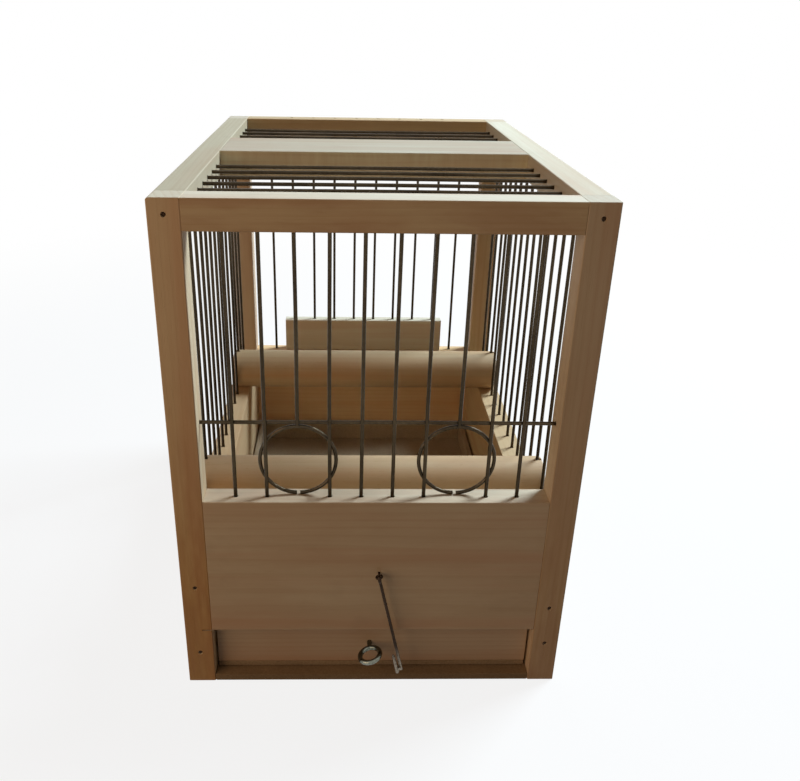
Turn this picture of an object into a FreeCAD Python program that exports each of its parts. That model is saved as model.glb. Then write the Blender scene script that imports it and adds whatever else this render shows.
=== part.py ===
import FreeCAD, Part
import os
import Sketcher

# Songbird cage: a frame of square wooden sticks with wire walls and a wire roof, two perches,
# two feeder rings in the front, a wire gate that lifts at the rear, and a drawer under the
# front board with a pull eye and a hook. Millimetres and degrees. X runs from left to right,
# Y from front to rear and Z up. The origin is the middle of the footprint, on the ground.

SIZES = (
    # frame
    ("cage_width", 160.0),
    ("cage_depth", 226.0),
    ("cage_height", 211.0),
    ("stick", 11.5),
    ("arris", 0.35),
    ("front_board_thickness", 10.5),
    ("front_board_height", 64.0),
    ("side_board_height", 61.5),
    ("rear_board_thickness", 10.5),
    ("rear_board_height", 67.5),
    ("base_thickness", 3.4),
    ("front_bay", 87.3),
    ("cross_board_width", 40.0),
    # nails
    ("nail_diameter", 1.4),
    ("nail_length", 21.5),
    ("nail_set", 0.3),
    ("nail_clearance", 0.05),
    ("left_upper_nail_drop", 11.3),
    ("left_lower_nail", 15.9),
    ("right_upper_nail_drop", 22.1),
    ("right_lower_nail", 20.4),
    # wires
    ("wire_diameter", 1.5),
    ("wire_inset", 4.8),
    ("wire_seat", 4.0),
    ("wire_clearance", 0.1),
    ("touch_gap", 0.05),
    ("front_wire_count", 10),
    ("side_wire_count", 15),
    ("front_bay_wire_count", 6),
    ("rear_bay_wire_count", 5),
    # feeder rings, each in the place of the third wire from its side
    ("feeder_wire", 3),
    ("ring_diameter", 31.3),
    ("ring_split", 5.0),
    # perches, each clipped on the third side wire from its end
    ("perch_wire", 3),
    ("perch_diameter", 22.0),
    ("perch_end_gap", 2.5),
    ("perch_slot_clearance", 0.2),
    # rear gate
    ("gate_thickness", 7.0),
    ("gate_height", 20.2),
    ("gate_margin", 6.0),
    ("gate_wire_seat", 8.0),
    ("gate_wire_short", 0.3),
    # drawer
    ("slide_gap", 0.3),
    ("drawer_opening", 24.6),
    ("drawer_side_gap", 1.0),
    ("drawer_top_gap", 1.0),
    ("drawer_rear_gap", 2.0),
    ("drawer_recess", 5.0),
    ("drawer_front_thickness", 9.0),
    ("drawer_floor_thickness", 2.5),
    ("drawer_wall", 3.0),
    ("drawer_wall_drop", 8.8),
    # pull eye on the drawer
    ("pull_ring_diameter", 10.8),
    ("pull_wire", 2.1),
    ("pull_reach", 8.0),
    ("pull_seat", 7.0),
    ("pull_x", -1.4),
    ("pull_height", 10.8),
    ("pull_turn", 15.0),
    # hook and the small eye that it hangs on
    ("hook_x", 1.6),
    ("hook_drop", 34.0),
    ("hook_reach", 4.0),
    ("hook_eye_wire", 0.8),
    ("hook_eye_radius", 1.2),
    ("hook_eye_seat", 7.0),
    ("hook_eye_clearance", 0.05),
    ("link_clearance", 0.15),
    ("hook_wire", 1.3),
    ("hook_length", 51.0),
    ("hook_bend_radius", 1.2),
    ("hook_tip", 10.0),
    ("hook_lean", 12.5),
    ("hook_twist", 50.0),
)

# Places and lengths that follow from the sizes
INNER_WIDTH = "(Sizes.cage_width - 2 * Sizes.stick)"
INNER_DEPTH = "(Sizes.cage_depth - 2 * Sizes.stick)"
POST_X = "((Sizes.cage_width - Sizes.stick) / 2)"
POST_Y = "((Sizes.cage_depth - Sizes.stick) / 2)"
RAIL_BOTTOM = "(Sizes.cage_height - Sizes.stick)"
RAIL_MIDDLE = "(Sizes.cage_height - Sizes.stick / 2)"
BOARD_BOTTOM = "(Sizes.base_thickness + Sizes.drawer_opening)"
BOARD_TOP = f"({BOARD_BOTTOM} + Sizes.front_board_height)"
WIRE_HOLE = "(Sizes.wire_diameter + 2 * Sizes.wire_clearance)"
WIRE_IN_STICK = "(Sizes.stick / 2 - Sizes.wire_inset)"
WALL_WIRE_X = "(Sizes.cage_width / 2 - Sizes.wire_inset)"
WALL_WIRE_Y = "(Sizes.cage_depth / 2 - Sizes.wire_inset)"
FRONT_PITCH = f"({INNER_WIDTH} / (Sizes.front_wire_count + 1))"
SIDE_PITCH = f"({INNER_DEPTH} / (Sizes.side_wire_count + 1))"
END_WIRE_X = f"({FRONT_PITCH} * (Sizes.front_wire_count - 1) / 2)"
FEEDER_X = f"({END_WIRE_X} - {FRONT_PITCH} * (Sizes.feeder_wire - 1))"
REAR_BAY = f"({INNER_DEPTH} - Sizes.front_bay - Sizes.cross_board_width)"
FRONT_BAY_PITCH = "(Sizes.front_bay / (Sizes.front_bay_wire_count + 1))"
REAR_BAY_PITCH = f"({REAR_BAY} / (Sizes.rear_bay_wire_count + 1))"
FRONT_BAY_START = f"({FRONT_BAY_PITCH} - {INNER_DEPTH} / 2)"
REAR_BAY_START = f"({INNER_DEPTH} / 2 - {REAR_BAY} + {REAR_BAY_PITCH})"
RING_SETBACK = "(Sizes.wire_inset + Sizes.wire_diameter + Sizes.touch_gap)"
RING_RADIUS = "((Sizes.ring_diameter - Sizes.wire_diameter) / 2)"
RING_HEIGHT = f"({BOARD_TOP} + Sizes.ring_diameter / 2)"
CROSS_WIRE_HEIGHT = f"({BOARD_TOP} + Sizes.ring_diameter + Sizes.wire_diameter / 2 + Sizes.touch_gap)"
GATE_BOTTOM = "(Sizes.rear_board_height + Sizes.slide_gap)"
GATE_TOP = f"({GATE_BOTTOM} + Sizes.gate_height)"
DRAWER_WIDTH = f"({INNER_WIDTH} - 2 * Sizes.drawer_side_gap)"
DRAWER_FACE = "(Sizes.drawer_recess - Sizes.cage_depth / 2)"
DRAWER_END = "(Sizes.cage_depth / 2 - Sizes.rear_board_thickness - Sizes.drawer_rear_gap)"
DRAWER_FLOOR_BOTTOM = "(Sizes.base_thickness + Sizes.slide_gap)"
DRAWER_FLOOR_TOP = f"({DRAWER_FLOOR_BOTTOM} + Sizes.drawer_floor_thickness)"
DRAWER_FRONT_HEIGHT = f"({BOARD_BOTTOM} - Sizes.drawer_top_gap - {DRAWER_FLOOR_TOP})"
DRAWER_WALL_HEIGHT = f"({DRAWER_FRONT_HEIGHT} - Sizes.drawer_wall_drop)"
DRAWER_WALL_START = f"({DRAWER_FACE} + Sizes.drawer_front_thickness)"
PULL_RADIUS = "((Sizes.pull_ring_diameter - Sizes.pull_wire) / 2)"
HOOK_HEIGHT = f"({BOARD_TOP} - Sizes.hook_drop)"
HOOK_LOOP_RADIUS = "((Sizes.hook_wire + Sizes.hook_eye_wire) / 2 + Sizes.link_clearance)"

SIDES = (("left", -1), ("right", 1))
ENDS = (("front", -1), ("rear", 1))

doc = FreeCAD.newDocument("songbird_cage")
sheet = doc.addObject("Spreadsheet::Sheet", "Sizes")
for line, (alias, number) in enumerate(SIZES, start=1):
    sheet.set(f"A{line}", alias)
    sheet.set(f"B{line}", str(number))
    sheet.setAlias(f"B{line}", alias)
doc.recompute()

pieces = []
cuts = []


def bind(target, expressions):
    """Tie each named property of the target to its expression."""
    for name, expression in expressions.items():
        target.setExpression(name, expression)


def new_body(label, x, y, z):
    """Start a piece whose own origin stands at the place given."""
    body = doc.addObject("PartDesign::Body", label)
    body.Label = label
    body.AllowCompound = True
    bind(body, {"Placement.Base.x": x, "Placement.Base.y": y, "Placement.Base.z": z})
    pieces.append(body)
    return body


def turn_about_y(body, angle):
    """Turn a piece about its own Y axis, so that its +X side rises by the angle."""
    body.Placement.Rotation = FreeCAD.Rotation(FreeCAD.Vector(0, -1, 0), 1)
    body.setExpression("Placement.Rotation.Angle", angle)


def origin_feature(body, role):
    """Find an axis or a plane of the piece's own origin."""
    return next(feature for feature in body.Origin.OriginFeatures if feature.Role == role)


def new_sketch(body, plane, across="0", along="0", out="0"):
    """Attach a sketch to an origin plane, moved across and along the plane and out of it."""
    sketch = body.newObject("Sketcher::SketchObject", f"{body.Name}_sketch")
    sketch.AttachmentSupport = [(origin_feature(body, plane), "")]
    sketch.MapMode = "FlatFace"
    bind(sketch, {"AttachmentOffset.Base.x": across, "AttachmentOffset.Base.y": along,
                  "AttachmentOffset.Base.z": out})
    return sketch


def datum(sketch, name, constraint, expression):
    """Add a constraint whose value follows the expression."""
    index = sketch.addConstraint(constraint)
    sketch.renameConstraint(index, name)
    sketch.setExpression(f"Constraints.{name}", expression)


def draw_rectangle(sketch, width, height):
    """Draw a rectangle centred on the sketch's origin."""
    start_half = 1.0
    corners = [FreeCAD.Vector(a * start_half, b * start_half, 0)
               for a, b in ((-1, -1), (1, -1), (1, 1), (-1, 1))]
    for number in range(4):
        sketch.addGeometry(Part.LineSegment(corners[number], corners[(number + 1) % 4]), False)
    for number in range(4):
        sketch.addConstraint(Sketcher.Constraint("Coincident", number, 2, (number + 1) % 4, 1))
    for number, direction in enumerate(("Horizontal", "Vertical", "Horizontal", "Vertical")):
        sketch.addConstraint(Sketcher.Constraint(direction, number))
    sketch.addConstraint(Sketcher.Constraint("Symmetric", 0, 1, 1, 2, -1, 1))
    datum(sketch, "width", Sketcher.Constraint("DistanceX", 0, 1, 0, 2, 2 * start_half), width)
    datum(sketch, "height", Sketcher.Constraint("DistanceY", 1, 1, 1, 2, 2 * start_half), height)


def draw_circle(sketch, diameter, above=None):
    """Draw a circle on the sketch's origin, or on its vertical axis above the origin."""
    start_height = 1.0 if above else 0.0
    centre = FreeCAD.Vector(0, start_height, 0)
    sketch.addGeometry(Part.Circle(centre, FreeCAD.Vector(0, 0, 1), 1.0), False)
    datum(sketch, "diameter", Sketcher.Constraint("Diameter", 0, 2.0), diameter)
    if above is None:
        sketch.addConstraint(Sketcher.Constraint("Coincident", 0, 3, -1, 1))
    else:
        sketch.addConstraint(Sketcher.Constraint("PointOnObject", 0, 3, -2))
        datum(sketch, "above", Sketcher.Constraint("DistanceY", -1, 1, 0, 3, start_height), above)


def extrude(body, kind, sketch, length, side="One side", reverse=False):
    """Pad or pocket a sketch; a pocket goes against the sketch's normal unless reversed."""
    feature = body.newObject(f"PartDesign::{kind}", f"{body.Name}_{kind.lower()}")
    feature.Profile = sketch
    feature.SideType = side
    feature.Reversed = reverse
    feature.setExpression("Length", length)
    if kind == "Pocket":
        cuts.append(feature)
    return feature


def revolve(body, sketch, angle, symmetric=False, reverse=False):
    """Turn a sketch about its own horizontal axis."""
    feature = body.newObject("PartDesign::Revolution", f"{body.Name}_revolution")
    feature.Profile = sketch
    feature.ReferenceAxis = (sketch, ["H_Axis"])
    feature.Midplane = symmetric
    feature.Reversed = reverse
    feature.setExpression("Angle", angle)
    return feature


def repeat(body, feature, axis, span, count):
    """Repeat a feature along an axis, count times over the span."""
    row = body.newObject("PartDesign::LinearPattern", f"{body.Name}_row")
    row.Originals = [feature]
    row.Direction = (origin_feature(body, axis), [""])
    bind(row, {"Length": span, "Occurrences": count})
    body.Tip = row
    return row


def wood(label, width, depth, height, x, y, z):
    """Saw a stick or board, centred on x and y and standing on z, with its edges eased."""
    body = new_body(label, x, y, z)
    outline = new_sketch(body, "XY_Plane")
    draw_rectangle(outline, width, depth)
    blank = extrude(body, "Pad", outline, height)
    ease = body.newObject("PartDesign::Chamfer", f"{label}_eased_edges")
    ease.Base = (blank, [f"Edge{number}" for number in range(1, 13)])
    ease.setExpression("Size", "Sizes.arris")
    return body


def drill(body, plane, across, along, out, diameter, depth, reverse=False, side="One side"):
    """Drill a hole from a plane into the piece."""
    sketch = new_sketch(body, plane, across, along, out)
    draw_circle(sketch, diameter)
    return extrude(body, "Pocket", sketch, depth, side, reverse)


def rod(body, plane, across, along, out, diameter, length, side="One side", reverse=False):
    """Add a straight round rod that starts on a plane."""
    sketch = new_sketch(body, plane, across, along, out)
    draw_circle(sketch, diameter)
    return extrude(body, "Pad", sketch, length, side, reverse)


def nail_heights(side_name):
    """Give the heights of a corner's nails: two in the side board and one in the top rail."""
    upper = f"Sizes.side_board_height - Sizes.{side_name}_upper_nail_drop"
    return (f"Sizes.{side_name}_lower_nail", upper, RAIL_MIDDLE)


def make_posts():
    """Make the corner posts, drilled for their nails and at the front for the cross wire."""
    hole = "(Sizes.nail_diameter + 2 * Sizes.nail_clearance)"
    for end_name, end in ENDS:
        for side_name, side in SIDES:
            post = wood(f"{end_name}_{side_name}_post", "Sizes.stick", "Sizes.stick",
                        "Sizes.cage_height", f"{side} * {POST_X}", f"{end} * {POST_Y}", "0")
            for height in nail_heights(side_name):
                drill(post, "XZ_Plane", "0", height, "0", hole, "Sizes.stick * 2", side="Symmetric")
            if end_name == "front":
                drill(post, "YZ_Plane", f"{RING_SETBACK} - Sizes.stick / 2", CROSS_WIRE_HEIGHT,
                      f"{-side} * Sizes.stick / 2", WIRE_HOLE, "Sizes.wire_seat", reverse=side > 0)


def make_nails():
    """Make the nails that run through each post into the side board and the side rail."""
    for end_name, end in ENDS:
        for side_name, side in SIDES:
            nails = new_body(f"{end_name}_{side_name}_nails", f"{side} * {POST_X}",
                             f"{end} * (Sizes.cage_depth / 2 - Sizes.nail_set)", "0")
            for height in nail_heights(side_name):
                rod(nails, "XZ_Plane", "0", height, "0", "Sizes.nail_diameter",
                    "Sizes.nail_length", reverse=end < 0)


def nail_holes(body, height):
    """Drill a side board or a side rail at both ends for a nail."""
    depth = "(Sizes.nail_length + Sizes.nail_set - Sizes.stick)"
    hole = "(Sizes.nail_diameter + 2 * Sizes.nail_clearance)"
    for end_name, end in ENDS:
        drill(body, "XZ_Plane", "0", height, f"{-end} * {INNER_DEPTH} / 2", hole, depth,
              reverse=end > 0)


def make_top_rails():
    """Make the four top rails and the board across the roof."""
    rail = wood("front_top_rail", INNER_WIDTH, "Sizes.stick", "Sizes.stick", "0", f"-{POST_Y}",
                RAIL_BOTTOM)
    hole = drill(rail, "XY_Plane", f"-{END_WIRE_X}", f"-{WIRE_IN_STICK}", "0", WIRE_HOLE,
                 "Sizes.wire_seat", reverse=True)
    repeat(rail, hole, "X_Axis", f"2 * {END_WIRE_X}", "Sizes.front_wire_count")

    rail = wood("rear_top_rail", INNER_WIDTH, "Sizes.stick", "Sizes.stick", "0", POST_Y, RAIL_BOTTOM)
    hole = drill(rail, "XY_Plane", f"-{END_WIRE_X}", WIRE_IN_STICK, "0", WIRE_HOLE,
                 "Sizes.wire_seat", reverse=True)
    repeat(rail, hole, "X_Axis", f"2 * {END_WIRE_X}", "2")
    hole = drill(rail, "XY_Plane", f"{FRONT_PITCH} - {END_WIRE_X}", WIRE_IN_STICK, "0", WIRE_HOLE,
                 "Sizes.stick * 3", side="Symmetric")
    repeat(rail, hole, "X_Axis", f"2 * ({END_WIRE_X} - {FRONT_PITCH})", "Sizes.front_wire_count - 2")

    roof_wires = (
        (FRONT_BAY_START, FRONT_BAY_PITCH, "Sizes.front_bay_wire_count"),
        (REAR_BAY_START, REAR_BAY_PITCH, "Sizes.rear_bay_wire_count"),
    )
    for side_name, side in SIDES:
        rail = wood(f"{side_name}_top_rail", "Sizes.stick", INNER_DEPTH, "Sizes.stick",
                    f"{side} * {POST_X}", "0", RAIL_BOTTOM)
        hole = drill(rail, "XY_Plane", f"{side} * {WIRE_IN_STICK}", f"{SIDE_PITCH} - {INNER_DEPTH} / 2",
                     "0", WIRE_HOLE, "Sizes.wire_seat", reverse=True)
        repeat(rail, hole, "Y_Axis", f"{INNER_DEPTH} - 2 * {SIDE_PITCH}", "Sizes.side_wire_count")
        for start, pitch, count in roof_wires:
            hole = drill(rail, "YZ_Plane", start, "Sizes.stick - Sizes.wire_inset",
                         f"{-side} * Sizes.stick / 2", WIRE_HOLE, "Sizes.wire_seat", reverse=side > 0)
            repeat(rail, hole, "Y_Axis", f"{pitch} * ({count} - 1)", count)
        nail_holes(rail, "Sizes.stick / 2")

    wood("roof_cross_board", INNER_WIDTH, "Sizes.cross_board_width", "Sizes.stick", "0",
         f"Sizes.front_bay + Sizes.cross_board_width / 2 - {INNER_DEPTH} / 2", RAIL_BOTTOM)


def make_boards():
    """Make the lower boards of the four walls and the base panel between them."""
    board = wood("front_board", INNER_WIDTH, "Sizes.front_board_thickness", "Sizes.front_board_height",
                 "0", "(Sizes.front_board_thickness - Sizes.cage_depth) / 2", BOARD_BOTTOM)
    wire_line = "Sizes.wire_inset - Sizes.front_board_thickness / 2"
    for start, count in front_wire_groups():
        hole = drill(board, "XY_Plane", start, wire_line, "Sizes.front_board_height", WIRE_HOLE,
                     "Sizes.wire_seat")
        repeat(board, hole, "X_Axis", f"{FRONT_PITCH} * ({count} - 1)", count)
    drill(board, "XZ_Plane", "Sizes.hook_x", "Sizes.front_board_height - Sizes.hook_drop",
          "Sizes.front_board_thickness / 2", "Sizes.hook_eye_wire + 2 * Sizes.hook_eye_clearance",
          "Sizes.hook_eye_seat + Sizes.slide_gap")

    for side_name, side in SIDES:
        board = wood(f"{side_name}_side_board", "Sizes.stick", INNER_DEPTH, "Sizes.side_board_height",
                     f"{side} * {POST_X}", "0", "0")
        hole = drill(board, "XY_Plane", f"{side} * {WIRE_IN_STICK}", f"{SIDE_PITCH} - {INNER_DEPTH} / 2",
                     "Sizes.side_board_height", WIRE_HOLE, "Sizes.wire_seat")
        repeat(board, hole, "Y_Axis", f"{INNER_DEPTH} - 2 * {SIDE_PITCH}", "Sizes.side_wire_count")
        for height in nail_heights(side_name)[:2]:
            nail_holes(board, height)

    board = wood("rear_board", INNER_WIDTH, "Sizes.rear_board_thickness", "Sizes.rear_board_height",
                 "0", "(Sizes.cage_depth - Sizes.rear_board_thickness) / 2", "0")
    hole = drill(board, "XY_Plane", f"-{END_WIRE_X}", "Sizes.rear_board_thickness / 2 - Sizes.wire_inset",
                 "Sizes.rear_board_height", WIRE_HOLE, "Sizes.wire_seat")
    repeat(board, hole, "X_Axis", f"2 * {END_WIRE_X}", "2")

    wood("base_panel", INNER_WIDTH, "Sizes.cage_depth - Sizes.rear_board_thickness",
         "Sizes.base_thickness", "0", "-Sizes.rear_board_thickness / 2", "0")


def front_wire_groups():
    """Give the start and count of each run of full-length front wires beside the feeders."""
    outer_count = "(Sizes.feeder_wire - 1)"
    return (
        (f"-{END_WIRE_X}", outer_count),
        (f"{FRONT_PITCH} - {FEEDER_X}", "(Sizes.front_wire_count - 2 * Sizes.feeder_wire)"),
        (f"{FEEDER_X} + {FRONT_PITCH}", outer_count),
    )


def make_front_wires():
    """Make the front wires, the cross wire behind them and the two feeder rings."""
    front_y = f"-{WALL_WIRE_Y}"
    ring_y = f"{RING_SETBACK} - Sizes.cage_depth / 2"
    wires = new_body("front_wires", "0", front_y, f"{BOARD_TOP} - Sizes.wire_seat")
    length = f"{RAIL_BOTTOM} - {BOARD_TOP} + 2 * Sizes.wire_seat"
    for start, count in front_wire_groups():
        first = rod(wires, "XY_Plane", start, "0", "0", "Sizes.wire_diameter", length)
        repeat(wires, first, "X_Axis", f"{FRONT_PITCH} * ({count} - 1)", count)

    short_foot = f"{CROSS_WIRE_HEIGHT} - Sizes.wire_diameter / 2"
    wires = new_body("front_short_wires", "0", front_y, short_foot)
    length = f"{RAIL_BOTTOM} + Sizes.wire_seat - ({short_foot})"
    first = rod(wires, "XY_Plane", f"-{FEEDER_X}", "0", "0", "Sizes.wire_diameter", length)
    repeat(wires, first, "X_Axis", f"2 * {FEEDER_X}", "2")

    wire = new_body("front_cross_wire", "0", ring_y, CROSS_WIRE_HEIGHT)
    rod(wire, "YZ_Plane", "0", "0", "0", "Sizes.wire_diameter", f"{INNER_WIDTH} + 2 * Sizes.wire_seat",
        side="Symmetric")

    for side_name, side in SIDES:
        ring = new_body(f"{side_name}_feeder_ring", f"{side} * {FEEDER_X}", ring_y, RING_HEIGHT)
        section = new_sketch(ring, "YZ_Plane")
        draw_circle(section, "Sizes.wire_diameter", above=RING_RADIUS)
        revolve(ring, section, "360 - Sizes.ring_split", symmetric=True)


def make_side_and_roof_wires():
    """Make the wires of the side walls and of the two roof bays."""
    length = f"{RAIL_BOTTOM} - Sizes.side_board_height + 2 * Sizes.wire_seat"
    for side_name, side in SIDES:
        wires = new_body(f"{side_name}_side_wires", f"{side} * {WALL_WIRE_X}", "0",
                         "Sizes.side_board_height - Sizes.wire_seat")
        first = rod(wires, "XY_Plane", "0", f"{SIDE_PITCH} - {INNER_DEPTH} / 2", "0",
                    "Sizes.wire_diameter", length)
        repeat(wires, first, "Y_Axis", f"{INNER_DEPTH} - 2 * {SIDE_PITCH}", "Sizes.side_wire_count")

    bays = (
        ("front_roof_wires", FRONT_BAY_START, FRONT_BAY_PITCH, "Sizes.front_bay_wire_count"),
        ("rear_roof_wires", REAR_BAY_START, REAR_BAY_PITCH, "Sizes.rear_bay_wire_count"),
    )
    for label, start, pitch, count in bays:
        wires = new_body(label, "0", "0", "Sizes.cage_height - Sizes.wire_inset")
        first = rod(wires, "YZ_Plane", start, "0", "0", "Sizes.wire_diameter",
                    f"{INNER_WIDTH} + 2 * Sizes.wire_seat", side="Symmetric")
        repeat(wires, first, "Y_Axis", f"{pitch} * ({count} - 1)", count)


def make_perches():
    """Make the two round perches, which lie on the side boards and clip on the side wires."""
    length = "(Sizes.cage_width - 2 * Sizes.perch_end_gap)"
    slot_width = "(Sizes.wire_diameter + 2 * Sizes.perch_slot_clearance)"
    slot_end = f"({WALL_WIRE_X} - {slot_width} / 2)"
    for end_name, end in ENDS:
        perch = new_body(f"{end_name}_perch", "0",
                         f"{end} * ({INNER_DEPTH} / 2 - Sizes.perch_wire * {SIDE_PITCH})",
                         "Sizes.side_board_height + Sizes.perch_diameter / 2")
        rod(perch, "YZ_Plane", "0", "0", "0", "Sizes.perch_diameter", length, side="Symmetric")
        for side_name, side in SIDES:
            slot = new_sketch(perch, "XY_Plane", across=f"{side} * ({slot_end} + {length} / 2) / 2")
            draw_rectangle(slot, f"{length} / 2 - {slot_end}", slot_width)
            extrude(perch, "Pocket", slot, "Sizes.perch_diameter * 2", side="Symmetric")


def make_rear_gate():
    """Make the two fixed rear wires, and the gate: a slat with wires that slide up in the rail."""
    length = f"{RAIL_BOTTOM} - Sizes.rear_board_height + 2 * Sizes.wire_seat"
    for side_name, side in SIDES:
        wire = new_body(f"rear_{side_name}_wire", f"{side} * {END_WIRE_X}", WALL_WIRE_Y,
                        "Sizes.rear_board_height - Sizes.wire_seat")
        rod(wire, "XY_Plane", "0", "0", "0", "Sizes.wire_diameter", length)

    half_span = f"({END_WIRE_X} - {FRONT_PITCH})"
    count = "Sizes.front_wire_count - 2"
    slat = wood("rear_gate_slat", f"2 * ({half_span} + Sizes.gate_margin)", "Sizes.gate_thickness",
                "Sizes.gate_height", "0", WALL_WIRE_Y, GATE_BOTTOM)
    hole = drill(slat, "XY_Plane", f"-{half_span}", "0", "Sizes.gate_height", WIRE_HOLE,
                 "Sizes.gate_wire_seat")
    repeat(slat, hole, "X_Axis", f"2 * {half_span}", count)

    foot = f"({GATE_TOP} - Sizes.gate_wire_seat)"
    wires = new_body("rear_gate_wires", "0", WALL_WIRE_Y, foot)
    first = rod(wires, "XY_Plane", f"-{half_span}", "0", "0", "Sizes.wire_diameter",
                f"Sizes.cage_height - Sizes.gate_wire_short - {foot}")
    repeat(wires, first, "X_Axis", f"2 * {half_span}", count)


def make_drawer():
    """Make the drawer: a front, two sides and a back that stand on a thin floor."""
    front = wood("drawer_front", DRAWER_WIDTH, "Sizes.drawer_front_thickness",
                 DRAWER_FRONT_HEIGHT, "0", f"{DRAWER_FACE} + Sizes.drawer_front_thickness / 2",
                 DRAWER_FLOOR_TOP)
    drill(front, "XZ_Plane", "Sizes.pull_x", "Sizes.pull_height", "Sizes.drawer_front_thickness / 2",
          "Sizes.pull_wire", "Sizes.pull_seat")
    wood("drawer_floor", DRAWER_WIDTH, f"{DRAWER_END} - {DRAWER_FACE}", "Sizes.drawer_floor_thickness",
         "0", f"({DRAWER_END} + {DRAWER_FACE}) / 2", DRAWER_FLOOR_BOTTOM)
    for side_name, side in SIDES:
        wood(f"drawer_{side_name}_side", "Sizes.drawer_wall", f"{DRAWER_END} - {DRAWER_WALL_START}",
             DRAWER_WALL_HEIGHT, f"{side} * ({DRAWER_WIDTH} - Sizes.drawer_wall) / 2",
             f"({DRAWER_END} + {DRAWER_WALL_START}) / 2", DRAWER_FLOOR_TOP)
    wood("drawer_back", f"{DRAWER_WIDTH} - 2 * Sizes.drawer_wall", "Sizes.drawer_wall",
         DRAWER_WALL_HEIGHT, "0", f"{DRAWER_END} - Sizes.drawer_wall / 2", DRAWER_FLOOR_TOP)


def make_level_eye(label, x, y, z, turn, wire, radius, shank):
    """Make a wire eye whose ring lies level before its turn, with a shank to the rear."""
    eye = new_body(label, x, y, z)
    turn_about_y(eye, turn)
    section = new_sketch(eye, "XZ_Plane")
    section.AttachmentOffset.Rotation = FreeCAD.Rotation(FreeCAD.Vector(0, 0, 1), 90)
    draw_circle(section, wire, above=radius)
    revolve(eye, section, "360")
    rod(eye, "XZ_Plane", "0", "0", f"-{radius}", wire, shank, reverse=True)


def make_pull_eye():
    """Make the screw eye on the drawer front."""
    make_level_eye("pull_eye", "Sizes.pull_x", f"{DRAWER_FACE} - Sizes.pull_reach",
                   f"{DRAWER_FLOOR_TOP} + Sizes.pull_height", "Sizes.pull_turn", "Sizes.pull_wire",
                   PULL_RADIUS, f"Sizes.pull_reach + Sizes.pull_seat - {PULL_RADIUS}")


def make_hook():
    """Make the small eye in the front board and the wire hook whose loop turns on it."""
    pivot_y = "(-Sizes.cage_depth / 2 - Sizes.hook_reach)"
    make_level_eye("hook_eye", "Sizes.hook_x", f"{pivot_y} + Sizes.hook_eye_radius", HOOK_HEIGHT,
                   "Sizes.hook_lean", "Sizes.hook_eye_wire", "Sizes.hook_eye_radius",
                   "Sizes.hook_reach + Sizes.hook_eye_seat - 2 * Sizes.hook_eye_radius")

    hook = new_body("drawer_hook", "Sizes.hook_x", pivot_y, HOOK_HEIGHT)
    turn_about_y(hook, "Sizes.hook_lean")
    loop = new_sketch(hook, "XY_Plane")
    draw_circle(loop, "Sizes.hook_wire", above=HOOK_LOOP_RADIUS)
    revolve(hook, loop, "360")
    shank_end = "(Sizes.hook_length - Sizes.hook_bend_radius - Sizes.hook_wire / 2)"
    rod(hook, "XY_Plane", "0", "0", f"-{HOOK_LOOP_RADIUS}", "Sizes.hook_wire",
        f"{shank_end} - {HOOK_LOOP_RADIUS}", reverse=True)
    bend = twisted_sketch(hook, "Sizes.hook_bend_radius", f"-{shank_end}")
    draw_circle(bend, "Sizes.hook_wire", above="Sizes.hook_bend_radius")
    revolve(hook, bend, "180", reverse=True)
    tip = twisted_sketch(hook, "2 * Sizes.hook_bend_radius", f"-{shank_end}")
    draw_circle(tip, "Sizes.hook_wire")
    extrude(hook, "Pad", tip, "Sizes.hook_tip")


def twisted_sketch(body, forward, out):
    """Attach a level sketch a little forward of the shank and turned by the hook's twist."""
    sketch = new_sketch(body, "XY_Plane", f"-({forward}) * sin(Sizes.hook_twist * 1 deg)",
                        f"-({forward}) * cos(Sizes.hook_twist * 1 deg)", out)
    sketch.AttachmentOffset.Rotation = FreeCAD.Rotation(FreeCAD.Vector(0, 0, -1), 1)
    sketch.setExpression("AttachmentOffset.Rotation.Angle", "Sizes.hook_twist")
    return sketch


def check_pieces():
    """Stop if a feature failed, a pocket missed the wood or a shape isn't sound."""
    for item in doc.Objects:
        if "Invalid" in item.State or "Error" in item.State:
            raise RuntimeError(f"{item.Label} failed: {item.State}")
    for cut in cuts:
        if cut.Shape.Volume >= cut.BaseFeature.Shape.Volume:
            raise RuntimeError(f"{cut.Label} removes nothing")
    for piece in pieces:
        if piece.Shape.isNull() or not piece.Shape.isValid():
            raise RuntimeError(f"{piece.Label} has no sound shape")


def write_pieces():
    """Write each piece to its own file."""
    os.makedirs("parts", exist_ok=True)
    for piece in pieces:
        piece.Shape.exportStep(f"parts/{piece.Label}.step")
        print(piece.Label, len(piece.Shape.Solids), "solids", round(piece.Shape.Volume, 1), "mm3")


make_posts()
make_nails()
make_top_rails()
make_boards()
make_front_wires()
make_side_and_roof_wires()
make_perches()
make_rear_gate()
make_drawer()
make_pull_eye()
make_hook()
doc.recompute()
check_pieces()
write_pieces()
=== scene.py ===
"""Dresses the songbird cage: raw pale timber, drawn steel wire, hardboard, a wire hook and zinc.

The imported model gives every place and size. Each timber, wire row and fitting is modelled anew
over its node, with eased edges, drilled holes and a grain of its own, and rides on the node's body.
"""

import logging
import math
import random
from collections.abc import Callable, Iterator, Sequence
from contextlib import contextmanager
from dataclasses import dataclass
from enum import Enum

import bmesh
import bpy
from mathutils import Matrix, Vector

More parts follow.
